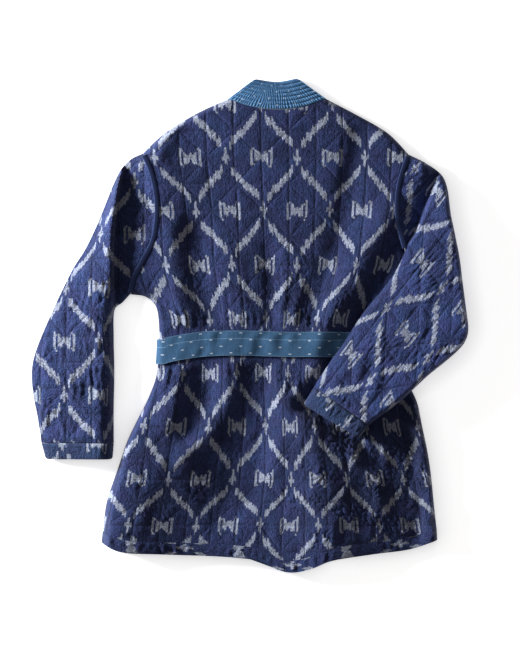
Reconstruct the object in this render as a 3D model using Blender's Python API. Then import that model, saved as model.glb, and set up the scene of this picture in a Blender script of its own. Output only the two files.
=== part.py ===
"""A quilted hanten with a belt, laid flat on its front, back up.

Metres, +Z up. The floor is z = 0, the collar points along +Y and the wearer's left sleeve lies at -X.
The fronts lie on the floor, the back lies over them, and the right sleeve is folded across the back.
Every panel is a wall of quilted cotton, filled in from its outline as seen from above.
"""

import math

import bmesh
import bpy
import numpy as np
from mathutils import Vector
from mathutils.geometry import delaunay_2d_cdt

# Cloth
WALL = 0.0032  # quilted cotton: two layers with wadding between
COLLAR_WALL = 0.0045  # the collar band is folded double
BELT_WALL = 0.0028  # the belt is folded double, without wadding
SEAM_GAP = 0.0003
QUILT_PITCH = 0.042  # side of one quilted square
QUILT_STEPS = 3  # mesh squares along one quilted square
QUILT_ORIGIN = (0.019, 0.271)  # where quilting lines cross on the back and the right sleeve
SLEEVE_QUILT_ORIGIN = (-0.294, -0.016)  # and on the left sleeve
PUFF = 0.0018  # how far the wadding stands up between quilting lines
OUTLINE_STEP = 0.014
FINE = QUILT_PITCH / QUILT_STEPS  # spacing of mesh points on quilted faces
PLAIN = QUILT_PITCH / 2  # on inner faces, which have no quilting
HIDDEN = QUILT_PITCH  # and on the fronts
EDGE_RING = 0.003  # a row of mesh points this far inside the edge shapes its roll

# Heights above the floor
BODY_TOP = 0.0135  # back panel, over the fronts
BODY_CROWN = 0.0015  # more height towards the middle of the back
CROWN_REACH = 0.08
ROLL_WIDTH = 0.009  # how far in from a folded edge the cloth reaches its full height
EDGE_TOP = 0.0064  # back panel where it is sewn to the front
COVER_REACH = 0.025  # beside the right sleeve, where the back's folds flatten under it
SLEEVE_FOLD = 0.0065  # middle of a sleeve's folded edge, above what it lies on
SLEEVE_RISE = 0.0175  # a sleeve's upper layer, above what it lies on
CREST_RISE = 0.008  # added along the sleeve's inner side
CREST_INSET = 0.022
CREST_WIDTH = 0.028
PLEAT_EDGE = 0.0200  # the sleeve's edge that stands beside the armhole
PLEAT_ROLL = 0.012
PLEAT_DROP = 0.007
PLEAT_SLANT = 0.8  # true distance across the right sleeve's slanted pleat, as a share of its distance in x
LEFT_PLEAT_ROWS = (0.0, 0.5, 1.0)  # rows of mesh points down each pleat, in parts of its drop
RIGHT_PLEAT_ROWS = (0.0, 0.7, 1.3)
VALLEY = 0.0085  # bottom of the pleat between that edge and the armhole
SLEEVE_LIFT = 0.0202  # underside of the right sleeve where it lies on the back
CLIMB = (0.038, 0.004)  # outside the body's edge, where that underside starts and ends its climb
LAPPED_BELOW = (0.165, 0.125)  # y where the right sleeve starts and ends climbing onto the back

# Widths
COLLAR_WIDTH = 0.045
CENTRE_FRONT = 0.043
FRONTS_MEET = 0.095  # y where the collar bands come together
COLLAR_POINT = (0.036, 0.394)  # where a front's collar band leaves the neck: x off the centre front, and y
COLLAR_ROWS = 7  # ridges between the collar's rows of stitching
COLLAR_RIDGE = 0.0007
COLLAR_STEP = 0.010  # spacing of mesh points along it
COLLAR_DROP = 0.0075  # its upper edge lies this much lower than the seam
COLLAR_TRIM = 0.0002  # clearance at both of its ends
COLLAR_LIFT = 0.007  # share of its width left free at the neck seam
BINDING_WIDTH = 0.007
BINDING_SHAPE = (0.35, 0.85, 1.0, 0.85, 0.35)  # its dome across the width
BINDING_RISE = 0.0016
BINDING_EDGE = 0.0006  # its thickness at the edges
BINDING_GAP = 0.0005
BINDING_REACH = 1.6  # half the width over which it clears the cloth, in its own widths
BELT_WIDTH = 0.040
BELT_PRESS = 0.75  # share of the folds that the belt presses flat
BELT_OVERHANG = 0.003  # the front stretch reaches this far past the sides
BELT_CREASES = (0.012, 0.027, 0.042)  # rows of mesh points beyond the belt's edges, where the fronts bend over it
FRONT_OVER_BELT = BELT_WALL + SEAM_GAP
BELT_CLEARANCE = 0.0009
BELT_EASE = (0.012, 0.030)  # how far beyond the belt its pressure stays, and then fades
BELT_TURN_HEIGHTS = (0.0034, 0.0094)  # stations up the side of the body
BELT_TURN_INSETS = (0.0008, 0.003, 0.006, 0.010)  # and over its rolled edge

# Seams and edges seen from above, as (x, y) points that a smooth line runs through
NECK_SEAM = ((-0.035, 0.363), (0.000, 0.351), (0.043, 0.346), (0.085, 0.350), (0.122, 0.363))
COLLAR_EDGE = ((0.006, 0.394), (0.043, 0.389), (0.078, 0.395))
SHOULDER_LEFT = ((-0.035, 0.363), (-0.085, 0.340), (-0.130, 0.313), (-0.152, 0.295), (-0.171, 0.276))
SHOULDER_RIGHT = ((0.122, 0.363), (0.170, 0.338), (0.214, 0.313), (0.235, 0.295), (0.254, 0.274))
ARMHOLE_LEFT = (
    (-0.171, 0.276), (-0.158, 0.246), (-0.150, 0.209), (-0.149, 0.174),
    (-0.155, 0.137), (-0.171, 0.105), (-0.185, 0.078), (-0.192, 0.050),
)
ARMHOLE_RIGHT = ((0.254, 0.274), (0.245, 0.249), (0.238, 0.222), (0.235, 0.193), (0.237, 0.166), (0.248, 0.120))
ARMHOLE_RIGHT_LAPPED = ((0.248, 0.120), (0.260, 0.095), (0.270, 0.070))
SIDE_LEFT = (
    (-0.192, 0.050), (-0.167, 0.046), (-0.151, 0.031), (-0.146, 0.004), (-0.146, -0.040), (-0.150, -0.080),
    (-0.163, -0.116), (-0.180, -0.150), (-0.197, -0.186), (-0.212, -0.230), (-0.229, -0.280), (-0.236, -0.329),
)
SIDE_LEFT_HEM = ((-0.236, -0.329), (-0.238, -0.347))
SIDE_RIGHT = (
    (0.270, 0.070), (0.252, 0.040), (0.243, 0.000), (0.241, -0.031), (0.244, -0.068), (0.256, -0.097),
    (0.268, -0.124), (0.276, -0.162), (0.284, -0.200), (0.290, -0.240), (0.295, -0.290), (0.299, -0.325),
)
SIDE_RIGHT_HEM = ((0.299, -0.325), (0.300, -0.343))
HEM_SEAM = (
    (-0.236, -0.329), (-0.205, -0.342), (-0.139, -0.346), (-0.043, -0.350), (0.016, -0.357), (0.045, -0.371),
    (0.070, -0.375), (0.100, -0.368), (0.133, -0.355), (0.194, -0.346), (0.256, -0.338), (0.299, -0.325),
)
HEM_EDGE = (
    (-0.238, -0.347), (-0.205, -0.362), (-0.139, -0.366), (-0.043, -0.370), (0.016, -0.377), (0.045, -0.391),
    (0.070, -0.395), (0.100, -0.388), (0.133, -0.375), (0.194, -0.366), (0.256, -0.358), (0.300, -0.343),
)
SLEEVE_LEFT_OUTER = (
    (-0.171, 0.276), (-0.190, 0.267), (-0.205, 0.252), (-0.218, 0.228), (-0.232, 0.193), (-0.247, 0.157),
    (-0.264, 0.122), (-0.283, 0.092), (-0.305, 0.048), (-0.325, 0.004), (-0.341, -0.035), (-0.349, -0.066),
    (-0.348, -0.105), (-0.340, -0.148), (-0.334, -0.188),
)
SLEEVE_LEFT_INNER = (
    (-0.192, 0.050), (-0.204, 0.037), (-0.217, 0.024), (-0.218, -0.020), (-0.217, -0.075),
    (-0.218, -0.130), (-0.218, -0.188),
)
CUFF_LEFT_OUTER = ((-0.334, -0.188), (-0.327, -0.214))
CUFF_LEFT_INNER = ((-0.218, -0.188), (-0.220, -0.214))
PLEAT_LEFT = ((-0.205, 0.252), (-0.211, 0.222), (-0.217, 0.180), (-0.221, 0.130), (-0.221, 0.080), (-0.218, 0.028))
SLEEVE_RIGHT_OUTER = (
    (0.254, 0.274), (0.282, 0.260), (0.306, 0.242), (0.316, 0.219), (0.321, 0.180), (0.328, 0.145),
    (0.335, 0.110), (0.340, 0.070), (0.345, 0.030), (0.349, -0.005), (0.344, -0.025), (0.331, -0.041),
    (0.308, -0.061), (0.283, -0.081), (0.258, -0.104), (0.236, -0.124), (0.213, -0.141), (0.190, -0.159),
)
SLEEVE_RIGHT_INNER = (
    (0.248, 0.120), (0.238, 0.097), (0.224, 0.074), (0.207, 0.052), (0.185, 0.026), (0.167, 0.000),
    (0.148, -0.030), (0.131, -0.053), (0.116, -0.076), (0.102, -0.098),
)
CUFF_RIGHT_OUTER = ((0.190, -0.159), (0.174, -0.180))
CUFF_RIGHT_INNER = ((0.102, -0.098), (0.085, -0.126))
PLEAT_RIGHT = ((0.306, 0.242), (0.293, 0.210), (0.280, 0.178), (0.268, 0.148), (0.248, 0.120))
BELT_CENTRE = (
    (-0.146, -0.042), (-0.118, -0.036), (-0.080, -0.030), (-0.040, -0.028), (0.000, -0.028),
    (0.056, -0.030), (0.115, -0.030), (0.176, -0.031), (0.242, -0.036),
)

# Folds of the back: start, middle and end as (x, y), half width, and rise
FOLDS = (
    ((-0.132, 0.215), (-0.130, 0.100), (-0.112, 0.010), 0.020, 0.0050),
    ((-0.098, 0.190), (-0.099, 0.095), (-0.079, 0.015), 0.017, -0.0035),
    ((-0.050, 0.200), (-0.044, 0.100), (-0.036, 0.010), 0.028, 0.0030),
    ((0.020, 0.130), (0.018, 0.070), (0.015, 0.004), 0.017, -0.0030),
    ((0.165, 0.286), (0.137, 0.180), (0.103, 0.068), 0.020, -0.0035),
    ((0.198, 0.235), (0.160, 0.130), (0.090, 0.000), 0.020, 0.0045),
    ((-0.120, -0.075), (-0.143, -0.160), (-0.170, -0.300), 0.026, 0.0070),
    ((-0.080, -0.070), (-0.086, -0.130), (-0.060, -0.215), 0.020, -0.0035),
    ((-0.040, -0.065), (-0.035, -0.150), (-0.040, -0.330), 0.030, 0.0045),
    ((0.016, -0.060), (0.022, -0.150), (0.010, -0.250), 0.018, -0.0035),
    ((0.090, -0.090), (0.112, -0.220), (0.080, -0.390), 0.048, 0.0200),
    ((0.240, -0.150), (0.262, -0.240), (0.258, -0.340), 0.026, 0.0060),
)

# Colours: name, red, green, blue, roughness
INDIGO = ("indigo kasuri", 0.045, 0.060, 0.165, 0.85)
INDIGO_CROSS = ("indigo kasuri, cut across", 0.055, 0.070, 0.175, 0.85)
PALE_INDIGO = ("pale indigo sashiko", 0.055, 0.160, 0.330, 0.85)
BINDING_NAVY = ("navy bias tape", 0.020, 0.028, 0.085, 0.80)


def clear_scene():
    for thing in list(bpy.data.objects):
        bpy.data.objects.remove(thing)


def ease(t):
    """0 to 1 with level ends."""
    t = np.clip(t, 0.0, 1.0)
    return t * t * (3.0 - 2.0 * t)


def roll(t):
    """Height of a rolled edge, from 0 at the edge to 1 where the cloth is level."""
    return 1.0 - (1.0 - np.clip(t, 0.0, 1.0)) ** 2.5


def smooth(points, step=OUTLINE_STEP):
    """Evenly spaced points on a smooth line through the given ones."""
    p = np.array(points, float)
    if len(p) > 2:
        ends = np.vstack([2 * p[0] - p[1], p, 2 * p[-1] - p[-2]])
        line = [p[0]]
        for a, b, c, d in zip(ends, ends[1:], ends[2:], ends[3:]):
            for t in np.linspace(0.0, 1.0, 13)[1:]:
                line.append(
                    0.5 * (2 * b + (c - a) * t + (2 * a - 5 * b + 4 * c - d) * t**2 + (3 * b - a - 3 * c + d) * t**3)
                )
        p = np.array(line)
    run = np.concatenate([[0.0], np.cumsum(np.linalg.norm(np.diff(p, axis=0), axis=1))])
    count = max(1, round(run[-1] / step))
    at = np.linspace(0.0, run[-1], count + 1)
    return np.column_stack([np.interp(at, run, p[:, 0]), np.interp(at, run, p[:, 1])])


def straight(*points):
    """Evenly spaced points on straight runs between the given ones."""
    runs = [smooth((a, b)) for a, b in zip(points, points[1:])]
    return np.vstack([run[:-1] for run in runs] + [runs[-1][-1:]])


def distance(points, line):
    """Distance of each point from a line of points."""
    a = line[:-1][None]
    along = (line[1:] - line[:-1])[None]
    offset = points[:, None] - a
    t = np.clip((offset * along).sum(2) / np.maximum((along**2).sum(2), 1e-12), 0.0, 1.0)
    return np.linalg.norm(offset - t[..., None] * along, axis=2).min(1)


def inside(points, outline):
    """Which points lie inside a closed outline."""
    x, y = points[:, :1], points[:, 1:]
    a, b = outline, np.roll(outline, -1, axis=0)
    straddles = (a[:, 1] > y) != (b[:, 1] > y)
    rise = np.where(b[:, 1] == a[:, 1], 1.0, b[:, 1] - a[:, 1])
    crossing = a[:, 0] + (y - a[:, 1]) * (b[:, 0] - a[:, 0]) / rise
    return (straddles & (x < crossing)).sum(1) % 2 == 1


def join(*edges):
    """A closed outline from edges that follow each other, without the points they share."""
    return np.vstack([edge[:-1] for edge in edges])


NECK = smooth(NECK_SEAM)
TOP_LEFT = smooth(SHOULDER_LEFT)
TOP_RIGHT = smooth(SHOULDER_RIGHT)
ARM_LEFT = smooth(ARMHOLE_LEFT)
ARM_RIGHT = smooth(ARMHOLE_RIGHT)
ARM_RIGHT_LAPPED = smooth(ARMHOLE_RIGHT_LAPPED)
FLANK_LEFT = smooth(SIDE_LEFT)
FLANK_RIGHT = smooth(SIDE_RIGHT)
HEM_LEFT = smooth(SIDE_LEFT_HEM)
HEM_RIGHT = smooth(SIDE_RIGHT_HEM)
BAND_SEAM = smooth(HEM_SEAM)
HEM = smooth(HEM_EDGE)
OUTER_LEFT = smooth(SLEEVE_LEFT_OUTER)
INNER_LEFT = smooth(SLEEVE_LEFT_INNER)
OUTER_RIGHT = smooth(SLEEVE_RIGHT_OUTER)
INNER_RIGHT = smooth(SLEEVE_RIGHT_INNER)
FOLD_LINES = [(smooth(row[:3]), row[3], row[4]) for row in FOLDS]
BELT_LINE = smooth(BELT_CENTRE)

BODY = join(
    NECK, TOP_RIGHT, ARM_RIGHT, ARM_RIGHT_LAPPED, FLANK_RIGHT, HEM_RIGHT,
    HEM[::-1], HEM_LEFT[::-1], FLANK_LEFT[::-1], ARM_LEFT[::-1], TOP_LEFT[::-1],
)
SLEEVE_OVER = join(
    ARM_RIGHT, INNER_RIGHT, smooth(CUFF_RIGHT_INNER), np.array((CUFF_RIGHT_INNER[-1], CUFF_RIGHT_OUTER[-1])),
    smooth(CUFF_RIGHT_OUTER)[::-1], OUTER_RIGHT[::-1],
)


def depth_in(points, outline):
    """Distance inside a closed outline, negative outside it."""
    away = distance(points, np.vstack([outline, outline[:1]]))
    return np.where(inside(points, outline), away, -away)


def belt_nearness(points):
    """1 under the belt, easing to 0 a little beyond its edges."""
    return ease(1.0 - (distance(points, BELT_LINE) - 0.5 * BELT_WIDTH - BELT_EASE[0]) / BELT_EASE[1])


def sleeve_cover(points):
    """1 under the right sleeve, easing to 0 beside it."""
    return ease(depth_in(points, SLEEVE_OVER) / COVER_REACH + 1.0)


def front_under(points):
    """Underside of the fronts: on the floor, and over the belt's front stretch."""
    return FRONT_OVER_BELT * belt_nearness(points)


def front_top(points):
    return front_under(points) + WALL


def back_top(points):
    """Height of the back's outer face: a level top, folds, and rolled edges at shoulders and sides."""
    rolled = np.min(
        [
            distance(points, TOP_LEFT),
            distance(points, TOP_RIGHT),
            distance(points, np.vstack([FLANK_LEFT, HEM_LEFT])),
            distance(points, np.vstack([ARM_RIGHT_LAPPED, FLANK_RIGHT, HEM_RIGHT])),
        ],
        axis=0,
    )
    rise = np.zeros(len(points))
    for line, width, height in FOLD_LINES:
        rise += height * np.exp(-((distance(points, line) / width) ** 2))
    rise *= (1.0 - BELT_PRESS * belt_nearness(points)) * (1.0 - sleeve_cover(points))
    level = BODY_TOP + BODY_CROWN * ease(rolled / CROWN_REACH) + rise
    edge = EDGE_TOP + front_under(points)
    return edge + (level - edge) * roll(rolled / ROLL_WIDTH)


def rest_left(points):
    """The left sleeve lies on the floor."""
    return np.zeros(len(points))


def rest_right(points):
    """What the right sleeve lies on: the floor, then up over the body's edge onto the back."""
    into = depth_in(points, BODY)
    high, low = LAPPED_BELOW
    climb = np.clip((into + CLIMB[0]) / (CLIMB[0] - CLIMB[1]), 0.0, 1.0)
    return SLEEVE_LIFT * climb * ease((high - points[:, 1]) / (high - low))


def past_pleat_left(points):
    """Distance past the left sleeve's standing edge, towards the armhole."""
    line = np.vstack([PLEAT_LEFT, SLEEVE_LEFT_INNER[3:]])[::-1]
    return points[:, 0] - np.interp(points[:, 1], line[:, 1], line[:, 0])


def past_pleat_right(points):
    """Distance past the right sleeve's standing edge, towards the armhole."""
    line = np.vstack([PLEAT_RIGHT, SLEEVE_RIGHT_INNER[1:], CUFF_RIGHT_INNER[1:]])[::-1]
    return PLEAT_SLANT * (np.interp(points[:, 1], line[:, 1], line[:, 0]) - points[:, 0])


def sleeve_heights(points, rest, past_pleat, armhole, folded_edges):
    """Undersides and tops of a sleeve's outer face."""
    from_fold = np.min([distance(points, edge) for edge in folded_edges], axis=0)
    past = past_pleat(points)
    on_sleeve = np.maximum(-past, 0.0)
    crest = SLEEVE_RISE + CREST_RISE * np.exp(-(((on_sleeve - CREST_INSET) / CREST_WIDTH) ** 2))
    crest = PLEAT_EDGE + (crest - PLEAT_EDGE) * roll(on_sleeve / PLEAT_ROLL)
    beyond = np.maximum(past, 0.0)
    to_seam = distance(points, armhole)
    recess = VALLEY + (BODY_TOP + BODY_CROWN - VALLEY) * ease(beyond / (beyond + to_seam + 1e-6))
    top = np.where(past > 0.0, PLEAT_EDGE + (recess - PLEAT_EDGE) * ease(past / PLEAT_DROP), crest)
    full = roll(from_fold / ROLL_WIDTH)
    under = rest(points)
    return under + SLEEVE_FOLD * (1.0 - full), under + SLEEVE_FOLD + (top - SLEEVE_FOLD) * full


LEFT_FOLDED = [np.vstack([OUTER_LEFT, CUFF_LEFT_OUTER[1:]]), np.vstack([INNER_LEFT, CUFF_LEFT_INNER[1:]])]
RIGHT_FOLDED = [np.vstack([OUTER_RIGHT, CUFF_RIGHT_OUTER[1:]]), np.vstack([INNER_RIGHT, CUFF_RIGHT_INNER[1:]])]


def left_heights(points):
    return sleeve_heights(points, rest_left, past_pleat_left, ARM_LEFT, LEFT_FOLDED)


def right_heights(points):
    return sleeve_heights(points, rest_right, past_pleat_right, ARM_RIGHT, RIGHT_FOLDED)


def inset(outline, by):
    """An outline, run anticlockwise, moved inwards."""
    back = outline - np.roll(outline, 1, axis=0)
    on = np.roll(outline, -1, axis=0) - outline
    back /= np.linalg.norm(back, axis=1)[:, None]
    on /= np.linalg.norm(on, axis=1)[:, None]
    mean = back + on
    mean /= np.linalg.norm(mean, axis=1)[:, None]
    stretch = 1.0 / np.maximum((mean * on).sum(1), 0.4)
    return outline + by * stretch[:, None] * np.column_stack([-mean[:, 1], mean[:, 0]])


def anticlockwise(outline):
    x, y = outline.T
    return outline if (x * np.roll(y, -1) - y * np.roll(x, -1)).sum() > 0 else outline[::-1]


class Plan:
    """A panel seen from above: its points, the triangles between them, and which points stand up."""

    def __init__(self, outline, lattice, origin=(0.0, 0.0), rings=(), creases=(), quilted=False):
        outline = inset(anticlockwise(outline), 0.5 * SEAM_GAP)
        closed = np.vstack([outline, outline[:1]])
        points = [outline]
        for ring in rings:
            row = inset(outline, ring)
            points.append(row[distance(row, closed) > 0.8 * ring])
        links = []
        count = sum(len(p) for p in points)
        for crease in creases:
            row = crease[inside(crease, outline) & (distance(crease, closed) > 0.004)]
            links += [(count + k, count + k + 1) for k in range(len(row) - 1)]
            count += len(row)
            points.append(row)
        taken = np.vstack(points)
        low, high = outline.min(0), outline.max(0)
        first = np.floor((low - origin) / lattice).astype(int)
        last = np.ceil((high - origin) / lattice).astype(int)
        i, j = (a.ravel() for a in np.meshgrid(*(np.arange(f, e + 1) for f, e in zip(first, last)), indexing="ij"))
        grid = np.column_stack([i, j]) * lattice + origin
        margin = max([0.45 * lattice] + [ring + 0.25 * lattice for ring in rings])
        kept = inside(grid, outline) & (distance(grid, closed) > margin)
        for crease in creases:
            kept &= distance(grid, crease) > 0.35 * lattice
        i, j, grid = i[kept], j[kept], grid[kept]
        at = {(a, b): count + k for k, (a, b) in enumerate(zip(i.tolist(), j.tolist()))}
        self.puffed = np.zeros(count + len(grid), bool)
        if quilted:
            clear = distance(grid, closed) > 0.8 * lattice
            for (a, b), k in at.items():
                square = (a // QUILT_STEPS + b // QUILT_STEPS) % 2
                u, v = a % QUILT_STEPS, b % QUILT_STEPS
                on_diagonal = u == v if square == 0 else u + v == QUILT_STEPS
                if u and v and not on_diagonal and clear[k - count]:
                    self.puffed[k] = True
                steps = [(0, 1)] * (u == 0) + [(1, 0)] * (v == 0)
                steps += [(1, 1)] * (square == 0 and u == v)
                steps += [(-1, 1)] * ((a - 1) // QUILT_STEPS != a // QUILT_STEPS and (square + 1) % 2 == 1 and v == 0)
                steps += [(-1, 1)] * (square == 1 and u > 0 and u + v == QUILT_STEPS)
                links += [(k, at[a + s, b + t]) for s, t in steps if (a + s, b + t) in at]
        points = np.vstack([taken, grid])
        face = [list(range(len(outline)))]
        got = delaunay_2d_cdt([Vector(p) for p in points], links, face, 1, 1e-7)
        self.points = np.array([tuple(p) for p in got[0]])
        source = [ids[0] if ids else -1 for ids in got[3]]
        self.puffed = np.array([s >= 0 and self.puffed[s] for s in source])
        place = {s: k for k, s in enumerate(source)}
        self.rim = [place[k] for k in range(len(outline))]
        self.triangles = []
        for a, b, c in got[2]:
            p, q, r = self.points[[a, b, c]]
            turn = (q[0] - p[0]) * (r[1] - p[1]) - (q[1] - p[1]) * (r[0] - p[0])
            self.triangles.append((a, b, c) if turn > 0 else (a, c, b))


def slopes(height, points, step=0.0005):
    """Upward normals of a height function."""
    east = (height(points + (step, 0.0)) - height(points - (step, 0.0))) / (2 * step)
    north = (height(points + (0.0, step)) - height(points - (0.0, step))) / (2 * step)
    normals = np.column_stack([-east, -north, np.ones(len(points))])
    return normals / np.linalg.norm(normals, axis=1)[:, None]


def make_object(name, points, faces, material, smooth_shaded=True):
    mesh = bpy.data.meshes.new(name)
    mesh.from_pydata([tuple(p) for p in points], [], faces)
    mesh.validate()
    cleaner = bmesh.new()
    cleaner.from_mesh(mesh)
    bmesh.ops.recalc_face_normals(cleaner, faces=cleaner.faces)
    cleaner.to_mesh(mesh)
    cleaner.free()
    if smooth_shaded:
        mesh.shade_smooth()
        mesh.set_sharp_from_angle(angle=math.radians(50))
    thing = bpy.data.objects.new(name, mesh)
    thing.data.materials.append(material)
    bpy.context.collection.objects.link(thing)
    return thing


def make_material(row):
    name, red, green, blue, roughness = row
    material = bpy.data.materials.new(name)
    material.use_nodes = True
    shader = material.node_tree.nodes["Principled BSDF"]
    shader.inputs["Base Color"].default_value = (red, green, blue, 1.0)
    shader.inputs["Roughness"].default_value = roughness
    shader.inputs["Metallic"].default_value = 0.0
    return material


def facing(plan, first, upwards):
    """A plan's triangles, numbered from a first point and facing up or down."""
    for a, b, c in plan.triangles:
        yield (a + first, b + first, c + first) if upwards else (a + first, c + first, b + first)


def wall(name, plan, plain, top, material, flat_under=None):
    """One panel: its outer face at the given height, and a plain inner face below it, clear of the fronts."""
    outer = np.column_stack([plan.points, top(plan.points) + PUFF * plan.puffed])
    above = top(plain.points)
    if flat_under is None:
        inner = np.column_stack([plain.points, above]) - WALL * slopes(top, plain.points)
        inner[plain.rim, :2] = plain.points[plain.rim]
        inner[plain.rim, 2] = above[plain.rim] - WALL
        inner[:, 2] = np.maximum(inner[:, 2], front_top(inner[:, :2]) + SEAM_GAP)
    else:
        inner = np.column_stack([plain.points, flat_under(plain.points)])
    count = len(outer)
    faces = list(facing(plan, 0, True)) + list(facing(plain, count, False))
    rims = list(zip(plan.rim, [v + count for v in plain.rim]))
    for (a, c), (b, d) in zip(rims, rims[1:] + rims[:1]):
        faces.append((a, c, d, b))
    return make_object(name, np.vstack([outer, inner]), faces, material)


def tube(name, plan, plain, heights, open_ends, material):
    """A flattened tube: two layers that share their folded edges and are open at the ends."""
    ring = plan.points[plan.rim]
    at_end = np.min([distance(ring, end) for end in open_ends], axis=0) < SEAM_GAP
    corner = at_end & ~(np.roll(at_end, 1) & np.roll(at_end, -1))
    folded = ~at_end | corner
    moved = inset(ring, WALL)
    for k in np.flatnonzero(corner):
        toward = ring[(k + 1) % len(ring)] if at_end[(k + 1) % len(ring)] else ring[k - 1]
        moved[k] = ring[k] + WALL * (toward - ring[k]) / np.linalg.norm(toward - ring[k])
    middle = np.mean(heights(ring), axis=0)
    layers, first = [], []
    for which, level, shift in ((plan, 1, 0.0), (plain, 0, 0.0), (plain, 1, -WALL), (plain, 0, WALL)):
        def height(points, level=level):
            return heights(points)[level]

        points = np.column_stack([which.points, height(which.points)])
        rim_heights = points[which.rim, 2] + shift
        points += shift * slopes(height, which.points)
        points[which.rim] = np.column_stack([ring, rim_heights])
        if which is plan:
            points[:, 2] += PUFF * plan.puffed
        folded_ring = ring if shift == 0.0 else moved
        for k in np.flatnonzero(folded):
            points[which.rim[k]] = (*folded_ring[k], middle[k])
        first.append(sum(len(layer) for layer in layers))
        layers.append(points)
    rims = [[v + start for v in which.rim] for which, start in zip((plan, plain, plain, plain), first)]
    merged = {}
    for k in np.flatnonzero(folded):
        merged[rims[1][k]] = rims[0][k]
        merged[rims[3][k]] = rims[2][k]
    faces = list(facing(plan, first[0], True)) + list(facing(plain, first[1], False))
    faces += list(facing(plain, first[2], False)) + list(facing(plain, first[3], True))
    for k in range(len(ring)):
        on = (k + 1) % len(ring)
        if at_end[k] and at_end[on]:
            faces.append((rims[0][k], rims[2][k], rims[2][on], rims[0][on]))
            faces.append((rims[1][on], rims[3][on], rims[3][k], rims[1][k]))
    faces = [tuple(merged.get(v, v) for v in face) for face in faces]
    used = sorted({v for face in faces for v in face})
    place = {v: k for k, v in enumerate(used)}
    points = np.vstack(layers)[used]
    return make_object(name, points, [tuple(place[v] for v in face) for face in faces], material)


def strip(name, outer, inner, material):
    """A band between two grids of points, rows along it and columns across it."""
    rows, columns = outer.shape[:2]
    count = rows * columns

    def at(row, column, layer):
        return layer * count + row * columns + column

    faces = []
    for r in range(rows - 1):
        for c in range(columns - 1):
            faces.append((at(r, c, 0), at(r + 1, c, 0), at(r + 1, c + 1, 0), at(r, c + 1, 0)))
            faces.append((at(r, c, 1), at(r, c + 1, 1), at(r + 1, c + 1, 1), at(r + 1, c, 1)))
        for c in (0, columns - 1):
            faces.append((at(r, c, 0), at(r, c, 1), at(r + 1, c, 1), at(r + 1, c, 0)))
    for c in range(columns - 1):
        for r in (0, rows - 1):
            faces.append((at(r, c, 0), at(r, c + 1, 0), at(r, c + 1, 1), at(r, c, 1)))
    points = np.vstack([outer.reshape(-1, 3), inner.reshape(-1, 3)])
    return make_object(name, points, faces, material)


def across(line):
    """Unit vectors square to a line of points, to its left."""
    run = np.gradient(line, axis=0)
    run /= np.linalg.norm(run, axis=1)[:, None]
    return np.column_stack([-run[:, 1], run[:, 0]])


def make_back(material):
    outline = join(NECK, TOP_RIGHT, ARM_RIGHT, ARM_RIGHT_LAPPED, FLANK_RIGHT, BAND_SEAM[::-1], FLANK_LEFT[::-1],
                   ARM_LEFT[::-1], TOP_LEFT[::-1])
    plan = Plan(outline, FINE, QUILT_ORIGIN, rings=(EDGE_RING,), quilted=True)
    plan.puffed &= distance(plan.points, BELT_LINE) > 0.5 * BELT_WIDTH + FINE
    plain = Plan(outline, PLAIN, QUILT_ORIGIN, rings=(EDGE_RING,))
    wall("back", plan, plain, back_top, material)


def make_hem_band_back(material):
    outline = join(BAND_SEAM, HEM_RIGHT, HEM[::-1], HEM_LEFT[::-1])
    plan = Plan(outline, FINE)
    wall("hem_band_back", plan, plan, back_top, material)


def belt_creases():
    return [BELT_LINE + side * across(BELT_LINE) * (0.5 * BELT_WIDTH + reach)
            for side in (-1, 1) for reach in BELT_CREASES]


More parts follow.
